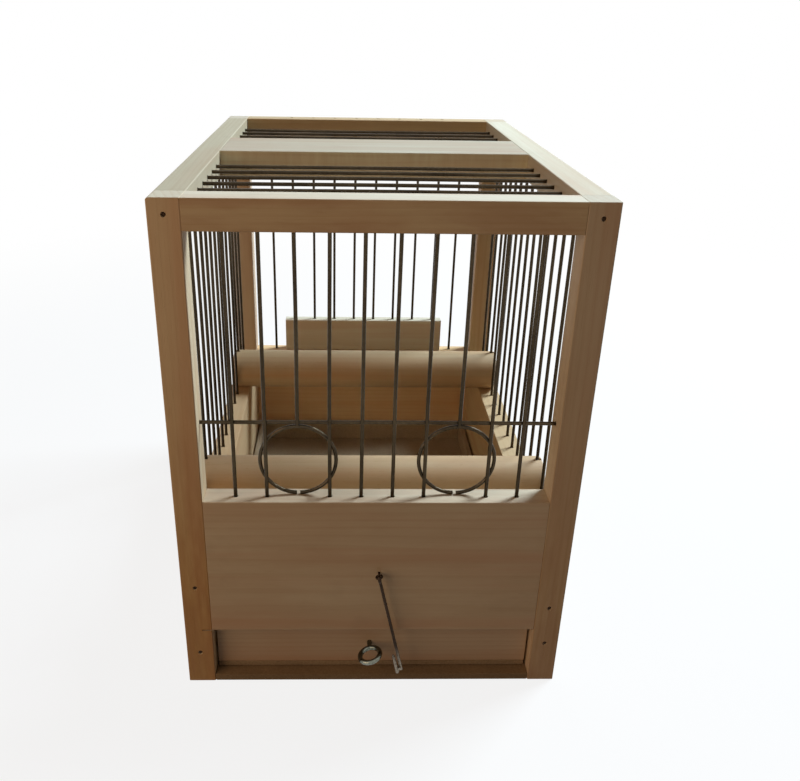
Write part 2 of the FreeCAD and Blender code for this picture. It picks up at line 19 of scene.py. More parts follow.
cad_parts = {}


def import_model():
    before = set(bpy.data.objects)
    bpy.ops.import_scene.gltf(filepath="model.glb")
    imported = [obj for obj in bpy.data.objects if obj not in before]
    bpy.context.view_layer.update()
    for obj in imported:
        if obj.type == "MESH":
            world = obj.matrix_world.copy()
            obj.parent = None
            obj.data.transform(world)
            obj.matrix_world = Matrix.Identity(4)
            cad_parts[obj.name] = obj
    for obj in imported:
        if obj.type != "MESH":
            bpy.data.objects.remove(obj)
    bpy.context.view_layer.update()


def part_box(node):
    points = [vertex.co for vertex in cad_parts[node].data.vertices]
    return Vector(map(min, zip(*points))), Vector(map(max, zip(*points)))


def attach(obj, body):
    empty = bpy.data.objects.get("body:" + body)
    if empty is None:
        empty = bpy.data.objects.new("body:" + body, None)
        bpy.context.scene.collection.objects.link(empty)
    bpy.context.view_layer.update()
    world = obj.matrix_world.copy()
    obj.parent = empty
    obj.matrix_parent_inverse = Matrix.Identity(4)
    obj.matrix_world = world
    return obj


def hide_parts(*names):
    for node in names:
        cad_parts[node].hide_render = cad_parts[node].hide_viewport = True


LOG = logging.getLogger("songbird_cage")
MM = 0.001  # in metres
HAIR = 1e-6  # a length in metres that is too small to count
FULL_TURN = 360.0  # in degrees
ROUND_ANGLE = 38.0  # faces that meet at less, in degrees, are shaded as one round
WHITE = (1.0, 1.0, 1.0, 1.0)
Piece = bpy.types.Object
Edge = bmesh.types.BMEdge
Colour = tuple[float, float, float]
Rings = list[tuple[float, float]]
Operand = "Signal | float"


def display(red: int, green: int, blue: int) -> Colour:
    """Turn a colour as a screen shows it, 0 to 255, into the linear values that shaders take."""
    shares = (red / 255.0, green / 255.0, blue / 255.0)
    return tuple(s / 12.92 if s <= 0.04045 else ((s + 0.055) / 1.055) ** 2.4 for s in shares)


def times(colour: Colour, shares: Sequence[float]) -> Colour:
    """Multiply a colour by a share for each channel."""
    return tuple(channel * share for channel, share in zip(colour, shares))


def middle_of(node: str) -> Vector:
    """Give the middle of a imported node's box."""
    low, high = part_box(node)
    return (low + high) / 2.0


class Axis(Enum):
    """A direction of the cage: across its width, along its depth, or up."""

    ACROSS = 0
    ALONG = 1
    UP = 2

    def unit(self) -> Vector:
        """Give the unit vector of the direction."""
        return Vector([float(self.value == k) for k in range(3)])

    def from_z(self) -> Matrix:
        """Give the turn that lays the Z axis along this direction."""
        return Vector((0.0, 0.0, 1.0)).rotation_difference(self.unit()).to_matrix().to_4x4()


class Tone(Enum):
    """The cast of a stick, palest sapwood to ruddiest: partly its own, partly painted light and shade.
    """

    CREAM = (1.0, 1.0, 1.0)
    STRAW = (1.12, 1.10, 1.02)
    HONEY = (1.0, 0.91, 0.74)
    AMBER = (1.18, 1.0, 0.76)
    RUSSET = (0.95, 0.92, 0.92)
    # TEA and PEWTER darken sticks that lie in shade: painted shade.
    TEA = (0.84, 0.78, 0.62)
    PEWTER = (0.71, 0.76, 0.75)
    SILVER = (0.76, 0.83, 0.89)
    SAND = (1.04, 1.09, 1.13)
    # The last two casts lighten sticks that stand in light: painted light.
    BLEACHED = (1.05, 1.16, 1.26)
    LIMED = (1.14, 1.24, 1.38)


class Signal:
    """A shader socket that takes part in Python sums."""

    def __init__(self, graph: "Graph", socket: bpy.types.NodeSocket) -> None:
        """Wrap one output socket of a graph's node."""
        self.graph = graph
        self.socket = socket

    def math(self, operation: str, *others: Operand) -> "Signal":
        """Add a Math node that takes this signal first and the other operands after it."""
        operands = dict(enumerate((self, *others)))
        return self.graph.node("ShaderNodeMath", {"operation": operation}, operands)

    def __add__(self, other: Operand) -> "Signal":
        """Add."""
        return self.math("ADD", other)

    def __sub__(self, other: Operand) -> "Signal":
        """Subtract."""
        return self.math("SUBTRACT", other)

    def __mul__(self, other: Operand) -> "Signal":
        """Multiply."""
        return self.math("MULTIPLY", other)

    def __truediv__(self, other: Operand) -> "Signal":
        """Divide."""
        return self.math("DIVIDE", other)

    def __rsub__(self, other: float) -> "Signal":
        """Subtract this signal from a number."""
        return self.math("MULTIPLY", -1.0).math("ADD", other)

    __radd__ = __add__
    __rmul__ = __mul__

    def swing(self) -> "Signal":
        """Centre a signal that runs from 0 to 1 on nought."""
        return self - 0.5

    def smooth(self, low: float, high: float) -> "Signal":
        """Rise softly from 0 at the low value to 1 at the high one."""
        settings = {"interpolation_type": "SMOOTHSTEP"}
        return self.graph.node("ShaderNodeMapRange", settings, {0: self, 1: low, 2: high})

    def clamp(self) -> "Signal":
        """Keep the signal between 0 and 1."""
        return self.graph.node("ShaderNodeClamp", {}, {0: self})


class Graph:
    """A node tree that is written as expressions."""

    def __init__(self, tree: bpy.types.NodeTree) -> None:
        """Start on an emptied tree."""
        self.tree = tree
        tree.nodes.clear()

    def node(self, kind: str, settings: dict, inputs: dict, output: int | str = 0) -> Signal:
        """Add a node.

        Args:
            kind: The node's type.
            settings: Properties of the node, set before its sockets.
            inputs: A value or a signal for each socket, by its number or name.
            output: The output socket to give back.

        Returns:
            The chosen output.
        """
        made = self.tree.nodes.new(kind)
        for name, value in settings.items():
            setattr(made, name, value)
        for key, value in inputs.items():
            if isinstance(value, Signal):
                self.tree.links.new(value.socket, made.inputs[key])
            else:
                made.inputs[key].default_value = value
        return Signal(self, made.outputs[output])

    def mix(self, factor: Operand, first: "Signal | Colour", second: "Signal | Colour",
            blend: str = "MIX") -> Signal:
        """Mix two colours by a factor, through the sockets that the node keeps for colours."""
        ends = [end if isinstance(end, Signal) else (*end, 1.0) for end in (first, second)]
        return self.node("ShaderNodeMix", {"data_type": "RGBA", "blend_type": blend},
                         {0: factor, 6: ends[0], 7: ends[1]}, 2)

    def tint(self, factor: Operand, colour: Signal, shares: "Signal | Colour") -> Signal:
        """Multiply a colour by a share for each channel, as far as the factor says."""
        return self.mix(factor, colour, self.mix(1.0, colour, shares, "MULTIPLY"))

    def place(self, turn: Matrix, origin: Vector) -> Signal:
        """Give the object's own coordinates in millimetres, moved to an origin and turned.

        Args:
            turn: The turn from the cage's directions to the pattern's.
            origin: The point that becomes the pattern's origin, in metres.

        Returns:
            The pattern's coordinates.
        """
        raw = self.node("ShaderNodeTexCoord", {}, {}, "Object")
        shift = -(turn @ origin) / MM
        return self.node("ShaderNodeMapping", {"vector_type": "POINT"},
                         {0: raw, 1: shift, 2: turn.to_euler(), 3: (1.0 / MM,) * 3})

    def cage_place(self) -> Signal:
        """Give the cage's own coordinates in millimetres."""
        return self.place(Matrix.Identity(4), Vector())

    def part(self, place: Signal, axis: str) -> Signal:
        """Take one of the coordinates, X, Y or Z."""
        return self.node("ShaderNodeSeparateXYZ", {}, {0: place}, axis)

    def facing(self, direction: Vector) -> Signal:
        """Give how far the surface faces a direction of the cage, from -1 to 1."""
        normal = self.node("ShaderNodeTexCoord", {}, {}, "Normal")
        return self.node("ShaderNodeVectorMath", {"operation": "DOT_PRODUCT"},
                         {0: normal, 1: direction}, "Value")

    def bump(self, height: Signal, depth: float, strength: float) -> Signal:
        """Raise the surface by a height signal times a depth in metres."""
        inputs = {"Strength": strength, "Distance": depth, "Height": height}
        return self.node("ShaderNodeBump", {}, inputs)

    def surface(self, colour: Signal, roughness: Signal, specular: float, normal: Signal,
                metallic: float = 0.0) -> None:
        """End the tree in a Principled shader.

        Args:
            colour: The base colour.
            roughness: How dull the gloss is.
            specular: The level of the uncoloured gloss.
            normal: The bumped normal.
            metallic: How far the surface is bare metal.
        """
        self.end_in(self.node("ShaderNodeBsdfPrincipled", {}, {
            "Base Color": colour, "Roughness": roughness, "Specular IOR Level": specular,
            "Normal": normal, "Metallic": metallic}))

    def end_in(self, shader: Signal, kind: str = "ShaderNodeOutputMaterial") -> None:
        """Lead a shader to the output of a material or of the world."""
        out = self.tree.nodes.new(kind)
        self.tree.links.new(shader.socket, out.inputs["Surface"])


def new_material(name: str) -> tuple[bpy.types.Material, Graph]:
    """Start a material and its graph.

    Args:
        name: The material's name.

    Returns:
        The material and its emptied graph.
    """
    material = bpy.data.materials.new(name)
    material.use_nodes = True
    return material, Graph(material.node_tree)


@dataclass(frozen=True)
class Figure:
    """Soft noise all through a solid: its turns per millimetre, its detail and where it fades in."""

    across: float
    along: float
    detail: float = 2.0
    roughness: float = 0.55
    fade: tuple[float, float] | None = None

    def drawn(self, graph: Graph, place: Signal) -> Signal:
        """Draw the figure.

        Args:
            graph: The material's graph.
            place: Coordinates in millimetres, with Z along the grain.

        Returns:
            The figure, from 0 to 1.
        """
        rates = (self.across, self.across, self.along)
        spread = graph.node("ShaderNodeVectorMath", {"operation": "MULTIPLY"}, {0: place, 1: rates})
        noise = graph.node("ShaderNodeTexNoise", {}, {
            "Vector": spread, "Scale": 1.0, "Detail": self.detail, "Roughness": self.roughness})
        return noise.smooth(*self.fade) if self.fade else noise


FIBRE = Figure(0.85, 0.014, 5.0, 0.62)
PORE = Figure(3.6, 0.13, 1.0, fade=(0.60, 0.76))
STREAK = Figure(0.10, 0.004, 3.0, fade=(0.44, 0.72))
CLOUD = Figure(0.022, 0.012)
BLOTCH = Figure(0.028, 0.010, 3.0, 0.5, (0.46, 0.66))
SMUDGE = Figure(0.045, 0.03, 4.0, 0.6, (0.56, 0.78))
FLECK = Figure(1.6, 0.30, fade=(0.64, 0.72))
SAW_BAR = Figure(0.04, 0.34)
RING_WANDER = Figure(0.03, 0.004)
FRONT_SHADE_PATCH = Figure(0.10, 0.022, 3.0, 0.6, (0.36, 0.62))
FELT = Figure(1.1, 1.1, 5.0, 0.7)
FELT_CLOUD = Figure(0.05, 0.05, 3.0)
METAL_STAIN = Figure(0.035, 0.035, 3.0)


@dataclass(frozen=True)
class FrontShade:
    """How much shade is painted on a front face: all over, and more towards its foot, each 0 to 1."""

    even: float
    foot: float


@dataclass(frozen=True)
class Stick:
    """What sets one piece of wood apart from the others.

    The seed picks the piece's own part of the tree. Saw marks are faint bars on the front and rear
    faces, which also get painted light; the front shade is the shade painted on the outer front face,
    if any.
    """

    node: str
    grain: Axis
    seed: int
    tone: Tone = Tone.CREAM
    saw_marks_and_face_light: bool = False
    tan: FrontShade | None = None


@dataclass(frozen=True)
class WoodFinish:
    """Raw, planed and lightly sanded pale wood.

    The pattern is solid: growth rings about a pith outside the stick, fibres and pores along the
    grain, and slow streaks of colour, so faces, edges and end grain agree. Its lengths are in
    millimetres, as its coordinates are; only the relief is in metres.
    """

    slot: str
    pale: Colour
    brown: Colour
    blush: Colour
    kind: str = "wood"
    ring_pitch: float = 2.6
    pith_reach: tuple[float, float] = (26.0, 70.0)
    late_wood: tuple[float, float] = (0.45, 0.94)
    wander: float = 9.0
    tree_reach: tuple[float, float, float] = (400.0, 400.0, 900.0)
    base_shade: float = 0.24
    ring_share: float = 0.14
    fibre_share: float = 0.36
    pore_share: float = 0.16
    cloud_share: float = 0.6
    fleck_share: float = 0.0
    streak_share: float = 0.55
    blotch_share: float = 0.28
    flush: Colour = (1.0, 0.92, 0.88)
    smudge_share: float = 0.16
    grime: Colour = (0.55, 0.55, 0.55)
    end_fade: tuple[float, float] = (0.6, 0.9)
    end_share: float = 0.6
    end_ring_share: float = 0.16
    grey_end: Colour = display(212, 204, 184)
    sawn_lit_fade: tuple[float, float] = (0.5, 0.9)
    sawn_lit_share: float = 0.8
    # Painted light on the front and rear faces, a share for each channel.
    face_light: Colour = (1.78, 1.84, 1.70)
    # Painted shade on outer front faces: where it fades in, how it rises from the foot, its patches and
    # colours.
    front_shade_fade: tuple[float, float] = (0.3, 0.8)
    front_shade_rise: tuple[float, float] = (20.0, 185.0)
    patch_share: float = 0.10
    ochre: Colour = (0.82, 0.67, 0.42)
    orange: Colour = (0.68, 0.48, 0.29)
    roughness: float = 0.56
    fibre_roughness: float = 0.3
    end_roughness: float = 0.12
    specular: float = 0.36
    fibre_relief: float = 0.5
    pore_relief: float = 0.8
    ring_relief: float = 0.25
    relief: float = 0.08 * MM
    relief_strength: float = 0.5

    def material(self, stick: Stick) -> bpy.types.Material:
        """Make the finish for one piece.

        Args:
            stick: The piece.

        Returns:
            The material.
        """
        draw = random.Random(stick.seed)
        material, graph = new_material(f"{stick.node}_{self.kind}")
        spin = Matrix.Rotation(draw.uniform(0.0, math.tau), 4, "Z")
        place = graph.place(spin @ stick.grain.from_z().inverted(), middle_of(stick.node))
        far = [draw.uniform(-reach, reach) for reach in self.tree_reach]
        in_tree = graph.node("ShaderNodeVectorMath", {"operation": "ADD"}, {0: place, 1: far})
        rings = self._rings(graph, place, in_tree, draw)
        figures = (FIBRE, PORE, STREAK, CLOUD, BLOTCH, SMUDGE, FLECK)
        fibre, pore, streak, cloud, blotch, smudge, fleck = (f.drawn(graph, in_tree) for f in figures)
        end = graph.facing(stick.grain.unit()).math("ABSOLUTE").smooth(*self.end_fade)
        sawn_and_lit = self._sawn_and_lit_faces(graph) if stick.saw_marks_and_face_light else None
        shade = fibre.swing() * self.fibre_share + rings * self.ring_share + pore * self.pore_share
        shade = shade + cloud.swing() * self.cloud_share + fleck * self.fleck_share + self.base_shade
        if sawn_and_lit:
            shade = shade + SAW_BAR.drawn(graph, in_tree).swing() * sawn_and_lit
        bare = (self.pale, self.brown, self.blush)
        pale, brown, blush = (times(colour, stick.tone.value) for colour in bare)
        colour = graph.mix(shade.clamp(), pale, brown)
        colour = graph.mix(streak * self.streak_share, colour, blush)
        colour = graph.mix(blotch * self.blotch_share, colour, times(blush, self.flush))
        colour = graph.mix(smudge * self.smudge_share, colour, times(brown, self.grime))
        colour = graph.mix(end * self.end_share, colour, self.grey_end)
        colour = graph.mix(end * rings * self.end_ring_share, colour, self.brown)
        # Painted light: the front and rear faces are lightened past the wood's own colour.
        if sawn_and_lit:
            colour = graph.tint(sawn_and_lit, colour, self.face_light)
        # Painted shade on the outer front face.
        if stick.tan:
            colour = self._paint_front_shade(graph, colour, in_tree, stick.tan)
        roughness = fibre.swing() * self.fibre_roughness + end * self.end_roughness + self.roughness
        height = fibre * self.fibre_relief - pore * self.pore_relief - rings * self.ring_relief
        normal = graph.bump(height, self.relief, self.relief_strength)
        graph.surface(colour, roughness, self.specular, normal)
        return material

    def _rings(self, graph: Graph, place: Signal, in_tree: Signal, draw: random.Random) -> Signal:
        """Draw the dark side of each year's ring about a pith that lies outside the stick.

        Args:
            graph: The material's graph.
            place: The piece's coordinates, with Z along the grain.
            in_tree: The coordinates of the piece's own part of the tree.
            draw: The piece's random draws.

        Returns:
            The rings, from 0 to 1.
        """
        away = graph.part(place, "X") + draw.uniform(*self.pith_reach)
        aside = graph.part(place, "Y")
        wander = RING_WANDER.drawn(graph, in_tree).swing() * self.wander
        radius = (away * away + aside * aside).math("SQRT") + wander
        year = (radius / self.ring_pitch).math("FRACT")
        return year.smooth(*self.late_wood) * (1.0 - year.smooth(self.late_wood[1], 1.0))

    def _sawn_and_lit_faces(self, graph: Graph) -> Signal:
        """Mark the front and rear faces, which get faint saw bars and painted light."""
        across = graph.facing(Axis.ALONG.unit()).math("ABSOLUTE")
        return across.smooth(*self.sawn_lit_fade) * self.sawn_lit_share

    def _paint_front_shade(self, graph: Graph, colour: Signal, in_tree: Signal, tan: FrontShade) -> Signal:
        """Paint shade on the outer front face in ochre and orange patches, more of it towards the
        bottom.

        Args:
            graph: The material's graph.
            colour: The colour of the bare wood.
            in_tree: The coordinates of the piece's own part of the tree.
            tan: How much shade is painted on the face.

        Returns:
            The darkened colour.
        """
        foot = 1.0 - graph.part(graph.cage_place(), "Z").smooth(*self.front_shade_rise)
        patch = FRONT_SHADE_PATCH.drawn(graph, in_tree)
        outer = graph.facing(-Axis.ALONG.unit()).smooth(*self.front_shade_fade)
        share = (foot * tan.foot + patch * self.patch_share + tan.even).clamp() * outer
        return graph.tint(share, colour, graph.mix(patch, self.ochre, self.orange))


@dataclass(frozen=True)
class HardboardFinish:
    """Thin pressed fibre board, dark brown with a felted speckle."""

    dark: Colour
    light: Colour
    slot: str = "hardboard"
    base_shade: float = 0.4
    felt_share: float = 1.6
    cloud_share: float = 0.8
    roughness: float = 0.66
    felt_roughness: float = 0.2
    specular: float = 0.2
    relief: float = 0.2 * MM
    relief_strength: float = 0.6

    def material(self, name: str) -> bpy.types.Material:
        """Make the finish.

        Args:
            name: The material's name.

        Returns:
            The material.
        """
        material, graph = new_material(name)
        place = graph.cage_place()
        felt = FELT.drawn(graph, place)
        cloud = FELT_CLOUD.drawn(graph, place)
        shade = felt.swing() * self.felt_share + cloud.swing() * self.cloud_share + self.base_shade
        colour = graph.mix(shade.clamp(), self.dark, self.light)
        normal = graph.bump(felt, self.relief, self.relief_strength)
        graph.surface(colour, felt * self.felt_roughness + self.roughness, self.specular, normal)
        return material


@dataclass(frozen=True)
class MetalFinish:
    """Bare or plated metal with a little mottling and a few dull spots, and a painted highlight if
    given one.
    """

    slot: str
    bright: Colour
    dull: Colour
    roughness: float
    mottle_rate: float
    metallic: float = 1.0
    specular: float = 0.5
    bend_highlight: Colour | None = None
    highlight_span: tuple[float, float] = (14.0, 24.0)
    highlight_fade: tuple[float, float] = (0.30, 0.55)
    mottle_detail: float = 4.0
    mottle_roughness: float = 0.65
    base_shade: float = 0.45
    mottle_share: float = 1.7
    stain_share: float = 1.5
    shade_roughness: float = 0.22
    relief: float = 0.03 * MM
    relief_strength: float = 0.5

    def material(self, name: str) -> bpy.types.Material:
        """Make the finish, with a painted highlight below its highlight span, in millimetres up, if it
        has one.

        Args:
            name: The material's name.

        Returns:
            The material.
        """
        material, graph = new_material(name)
        place = graph.cage_place()
        speckle = Figure(self.mottle_rate, self.mottle_rate, self.mottle_detail, self.mottle_roughness)
        mottle = speckle.drawn(graph, place)
        stain = METAL_STAIN.drawn(graph, place)
        shade = mottle.swing() * self.mottle_share + stain.swing() * self.stain_share + self.base_shade
        shade = shade.clamp()
        colour = graph.mix(shade, self.bright, self.dull)
        # Painted highlight low down, on the hook's bend, in mottled patches.
        if self.bend_highlight:
            low = 1.0 - graph.part(place, "Z").smooth(*self.highlight_span)
            colour = graph.mix(low * mottle.smooth(*self.highlight_fade), colour, self.bend_highlight)
        roughness = shade.swing() * self.shade_roughness + self.roughness
        normal = graph.bump(mottle, self.relief, self.relief_strength)
        graph.surface(colour, roughness, self.specular, normal, self.metallic)
        return material


PALE_WOOD = WoodFinish("pale_wood", display(224, 206, 176), display(190, 158, 120),
                       display(204, 164, 130))
PERCH_WOOD = WoodFinish("perch_wood", display(210, 190, 164), display(184, 150, 114),
                        display(206, 164, 128), "dowel", ring_pitch=3.4, fleck_share=0.30)
BASE_BOARD = HardboardFinish(display(132, 110, 82), display(168, 143, 112))
TRAY_BOARD = HardboardFinish(display(150, 130, 104), display(188, 166, 136))
STEEL_WIRE = MetalFinish("steel_wire", display(76, 64, 47), display(42, 34, 23),
                         roughness=0.19, mottle_rate=0.9, metallic=0.9, specular=0.3)
NAIL_STEEL = MetalFinish("nail_steel", display(74, 54, 36), display(36, 24, 14),
                         roughness=0.60, mottle_rate=2.0, metallic=0.4, specular=0.1)
# The hook's low bend gets a pale painted highlight.
HOOK_STEEL = MetalFinish("hook_steel", display(58, 42, 28), display(32, 22, 14),
                         roughness=0.32, mottle_rate=1.2, metallic=0.7, specular=0.2,
                         bend_highlight=display(146, 136, 120))
BRIGHT_ZINC = MetalFinish("bright_zinc", display(128, 130, 118), display(64, 66, 56),
                          roughness=0.20, mottle_rate=1.1)


class Bench:
    """The hand tools: primitives, edit-mode operators and applied modifiers."""

    @staticmethod
    def clear() -> None:
        """Deselect everything, because an operator acts on all that is selected."""
        bpy.ops.object.select_all(action="DESELECT")

    @staticmethod
    def pick(*pieces: Piece) -> None:
        """Select some pieces and nothing else.

        Args:
            pieces: The pieces, of which the first one becomes active.
        """
        Bench.clear()
        for piece in pieces:
            piece.select_set(True)
        bpy.context.view_layer.objects.active = pieces[0]

    @staticmethod
    def settle(name: str) -> Piece:
        """Name the primitive just added and apply its place, turn and size to its mesh.

        Args:
            name: The piece's name.

        Returns:
            The piece.
        """
        piece = bpy.context.object
        piece.name = name
        piece.data.name = name
        bpy.ops.object.transform_apply(location=True, rotation=True, scale=True)
        return piece

    @staticmethod
    @contextmanager
    def editing(piece: Piece, mode: str = "EDGE") -> Iterator[bmesh.types.BMesh]:
        """Work on one piece in edit mode, with nothing selected at the start.

        Args:
            piece: The piece.
            mode: What is selected: VERT, EDGE or FACE.

        Yields:
            The piece's mesh in edit mode.
        """
        Bench.pick(piece)
        bpy.ops.object.mode_set(mode="EDIT")
        bpy.ops.mesh.select_mode(type=mode)
        bpy.ops.mesh.select_all(action="DESELECT")
        yield bmesh.from_edit_mesh(piece.data)
        bpy.ops.object.mode_set(mode="OBJECT")

    @staticmethod
    def block(name: str, low: Vector, high: Vector) -> Piece:
        """Add a block between two corners.

        Args:
            name: The block's name.
            low: The corner with the least coordinates.
            high: The corner with the greatest ones.

        Returns:
            The block.
        """
        Bench.clear()
        bpy.ops.mesh.primitive_cube_add(size=1.0, location=(low + high) / 2.0)
        bpy.context.object.scale = high - low
        return Bench.settle(name)

    @staticmethod
    def disc(name: str, sides: int, radius: float, middle: Vector, ahead: Vector) -> Piece:
        """Add a disc, from which a wire or a rod is drawn out.

        Args:
            name: The piece's name.
            sides: Corners of the disc.
            radius: The disc's radius.
            middle: The disc's middle.
            ahead: The direction that the disc faces.

        Returns:
            The disc.
        """
        facing = Vector((0.0, 0.0, 1.0)).rotation_difference(ahead)
        Bench.clear()
        bpy.ops.mesh.primitive_circle_add(vertices=sides, radius=radius, fill_type="NGON",
                                          location=middle, rotation=facing.to_euler())
        return Bench.settle(name)

    @staticmethod
    def ease(piece: Piece, radius: float, segments: int,
             wanted: Callable[[Edge], bool]) -> None:
        """Bevel the edges that a test picks.

        Args:
            piece: The piece.
            radius: How far the bevel reaches from the edge.
            segments: Faces across the bevel.
            wanted: The test of an edge.
        """
        with Bench.editing(piece) as mesh:
            for edge in mesh.edges:
                edge.select_set(wanted(edge))
            bmesh.update_edit_mesh(piece.data)
            bpy.ops.mesh.bevel(offset_type="OFFSET", offset=radius, segments=segments,
                               affect="EDGES", clamp_overlap=True)

    @staticmethod
    def turned(name: str, axis: Axis, centre: Vector, rings: Rings, sides: int,
               sway: Callable[[float], Vector] | None = None) -> Piece:
        """Model a round rod by extruding a disc from ring to ring.

        Args:
            name: The piece's name.
            axis: The way that the rod runs.
            centre: A point on the rod's axis.
            rings: Each ring's place along the axis from the centre, and its radius.
            sides: Corners of each ring.
            sway: How far the axis leaves its line at a place along it.

        Returns:
            The rod.
        """
        def on_axis(along: float) -> Vector:
            """Give the rod's middle at a place along it."""
            return centre + axis.unit() * along + (sway(along) if sway else Vector())

        along, radius = rings[0]
        here = on_axis(along)
        piece = Bench.disc(name, sides, radius, here, axis.unit())
        with Bench.editing(piece, "FACE"):
            bpy.ops.mesh.select_all(action="SELECT")
            for along, wider in rings[1:]:
                there = on_axis(along)
                bpy.ops.mesh.extrude_region_move(TRANSFORM_OT_translate={"value": there - here})
                if wider != radius:
                    bpy.ops.transform.resize(value=(wider / radius,) * 3, center_override=there)
                here, radius = there, wider
        Bench.face_outwards(piece)
        return piece

    @staticmethod
    def hoop(name: str, middle: Vector, axis: Axis, start: Axis, radius: float, wire: float, arc: float,
             steps: tuple[int, int]) -> Piece:
        """Bend a round wire into a hoop by spinning a disc.

        Args:
            name: The piece's name.
            middle: The hoop's middle.
            axis: The axis that the wire goes round.
            start: The direction from the middle in which the wire's gap is centred.
            radius: Radius of the wire's own axis.
            wire: Radius of the wire.
            arc: How far round the wire goes, in degrees.
            steps: Corners of the wire and steps round the hoop.

        Returns:
            The hoop.
        """
        gap = math.radians((FULL_TURN - arc) / 2.0)
        out = Matrix.Rotation(-gap, 3, axis.unit()) @ start.unit()
        piece = Bench.disc(name, steps[0], wire, middle + out * radius, axis.unit().cross(out))
        with Bench.editing(piece, "FACE"):
            bpy.ops.mesh.select_all(action="SELECT")
            bpy.ops.mesh.spin(steps=steps[1], angle=math.radians(arc), center=middle, axis=axis.unit())
        Bench.face_outwards(piece)
        return piece

    @staticmethod
    def face_outwards(piece: Piece) -> None:
        """Merge doubled points and turn every face outwards.

        Args:
            piece: The piece.
        """
        with Bench.editing(piece, "VERT"):
            bpy.ops.mesh.select_all(action="SELECT")
            bpy.ops.mesh.remove_doubles(threshold=HAIR)
            bpy.ops.mesh.normals_make_consistent(inside=False)

    @staticmethod
    def copy(piece: Piece, move: Matrix) -> Piece:
        """Copy a piece with a mesh of its own, moved within that mesh.

        Args:
            piece: The piece.
            move: The move of the copy's points.

        Returns:
            The copy.
        """
        twin = piece.copy()
        twin.data = piece.data.copy()
        twin.data.transform(move)
        bpy.context.scene.collection.objects.link(twin)
        return twin

    @staticmethod
    def join(name: str, pieces: Sequence[Piece]) -> Piece:
        """Join pieces into one object.

        Args:
            name: The joined object's name.
            pieces: The pieces, which are used up.

        Returns:
            The joined object.
        """
        Bench.pick(*pieces)
        if len(pieces) > 1:
            bpy.ops.object.join()
        joined = bpy.context.object
        joined.name = name
        joined.data.name = name
        return joined

    @staticmethod
    def carve(piece: Piece, cutter: Piece) -> None:
        """Cut a piece by a cutter.

        Args:
            piece: The piece.
            cutter: The form to take out, which is used up.
        """
        cut = piece.modifiers.new("carve", "BOOLEAN")
        cut.operation = "DIFFERENCE"
        cut.solver = "EXACT"
        cut.object = cutter
        Bench.pick(piece)
        bpy.ops.object.modifier_apply(modifier=cut.name)
        bpy.data.objects.remove(cutter)

    @staticmethod
    def smooth(piece: Piece) -> None:
        """Shade rounds smoothly and keep the flats flat.

        Args:
            piece: The piece.
        """
        Bench.pick(piece)
        bpy.ops.object.shade_smooth_by_angle(angle=math.radians(ROUND_ANGLE))
        level = piece.modifiers.new("flats", "WEIGHTED_NORMAL")
        level.keep_sharp = True
        bpy.ops.object.modifier_apply(modifier=level.name)


@dataclass(frozen=True)
class Rod:
    """A straight round wire, nail or shank: the start and length of its axis and its radius."""

    start: Vector
    axis: Axis
    length: float
    radius: float

    def span(self) -> tuple[float, float]:
        """Give the two ends along the rod's own direction."""
        first = self.start[self.axis.value]
        return first, first + self.length

    def enters(self, low: Vector, high: Vector) -> bool:
        """Tell whether the rod reaches into a box.

        Args:
            low: The box's lower corner.
            high: The box's upper corner.

        Returns:
            Whether it does.
        """
        first, last = self.span()
        k = self.axis.value
        across = all(low[n] < self.start[n] < high[n] for n in range(3) if n != k)
        return across and first < high[k] - HAIR and last > low[k] + HAIR


@dataclass(frozen=True)
class WireRow:
    """A row of like wires in one node: how they run, how the row goes on, and how many there are."""

    node: str
    run: Axis
    spread: Axis
    count: int
    missing: tuple[int, ...] = ()

    def rods(self) -> list[Rod]:
        """Find each wire from the node's box.

        Returns:
            The wires in their order along the row.
        """
        low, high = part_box(self.node)
        third = next(a for a in Axis if a not in (self.run, self.spread))
        radius = (high[third.value] - low[third.value]) / 2.0
        k = self.spread.value
        pitch = (high[k] - low[k] - 2.0 * radius) / max(self.count - 1, 1)
        found = []
        for number in range(self.count):
            if number in self.missing:
                continue
            start = middle_of(self.node)
            start[k] = low[k] + radius + pitch * number
            start[self.run.value] = low[self.run.value]
            found.append(Rod(start, self.run, high[self.run.value] - low[self.run.value], radius))
        return found


@dataclass
class Assembly:
    """A sub-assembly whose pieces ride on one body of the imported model."""

    body: str

    def hand_over(self, piece: Piece, node: str, slot: str,
                  finish: bpy.types.Material) -> None:
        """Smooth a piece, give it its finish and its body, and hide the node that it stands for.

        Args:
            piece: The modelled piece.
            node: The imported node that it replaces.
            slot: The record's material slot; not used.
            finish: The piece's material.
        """
        Bench.smooth(piece)
        piece.data.materials.clear()
        piece.data.materials.append(finish)
        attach(piece, self.body)
        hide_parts(node)
        LOG.info("%s: %d faces, on %s", piece.name, len(piece.data.polygons), self.body)


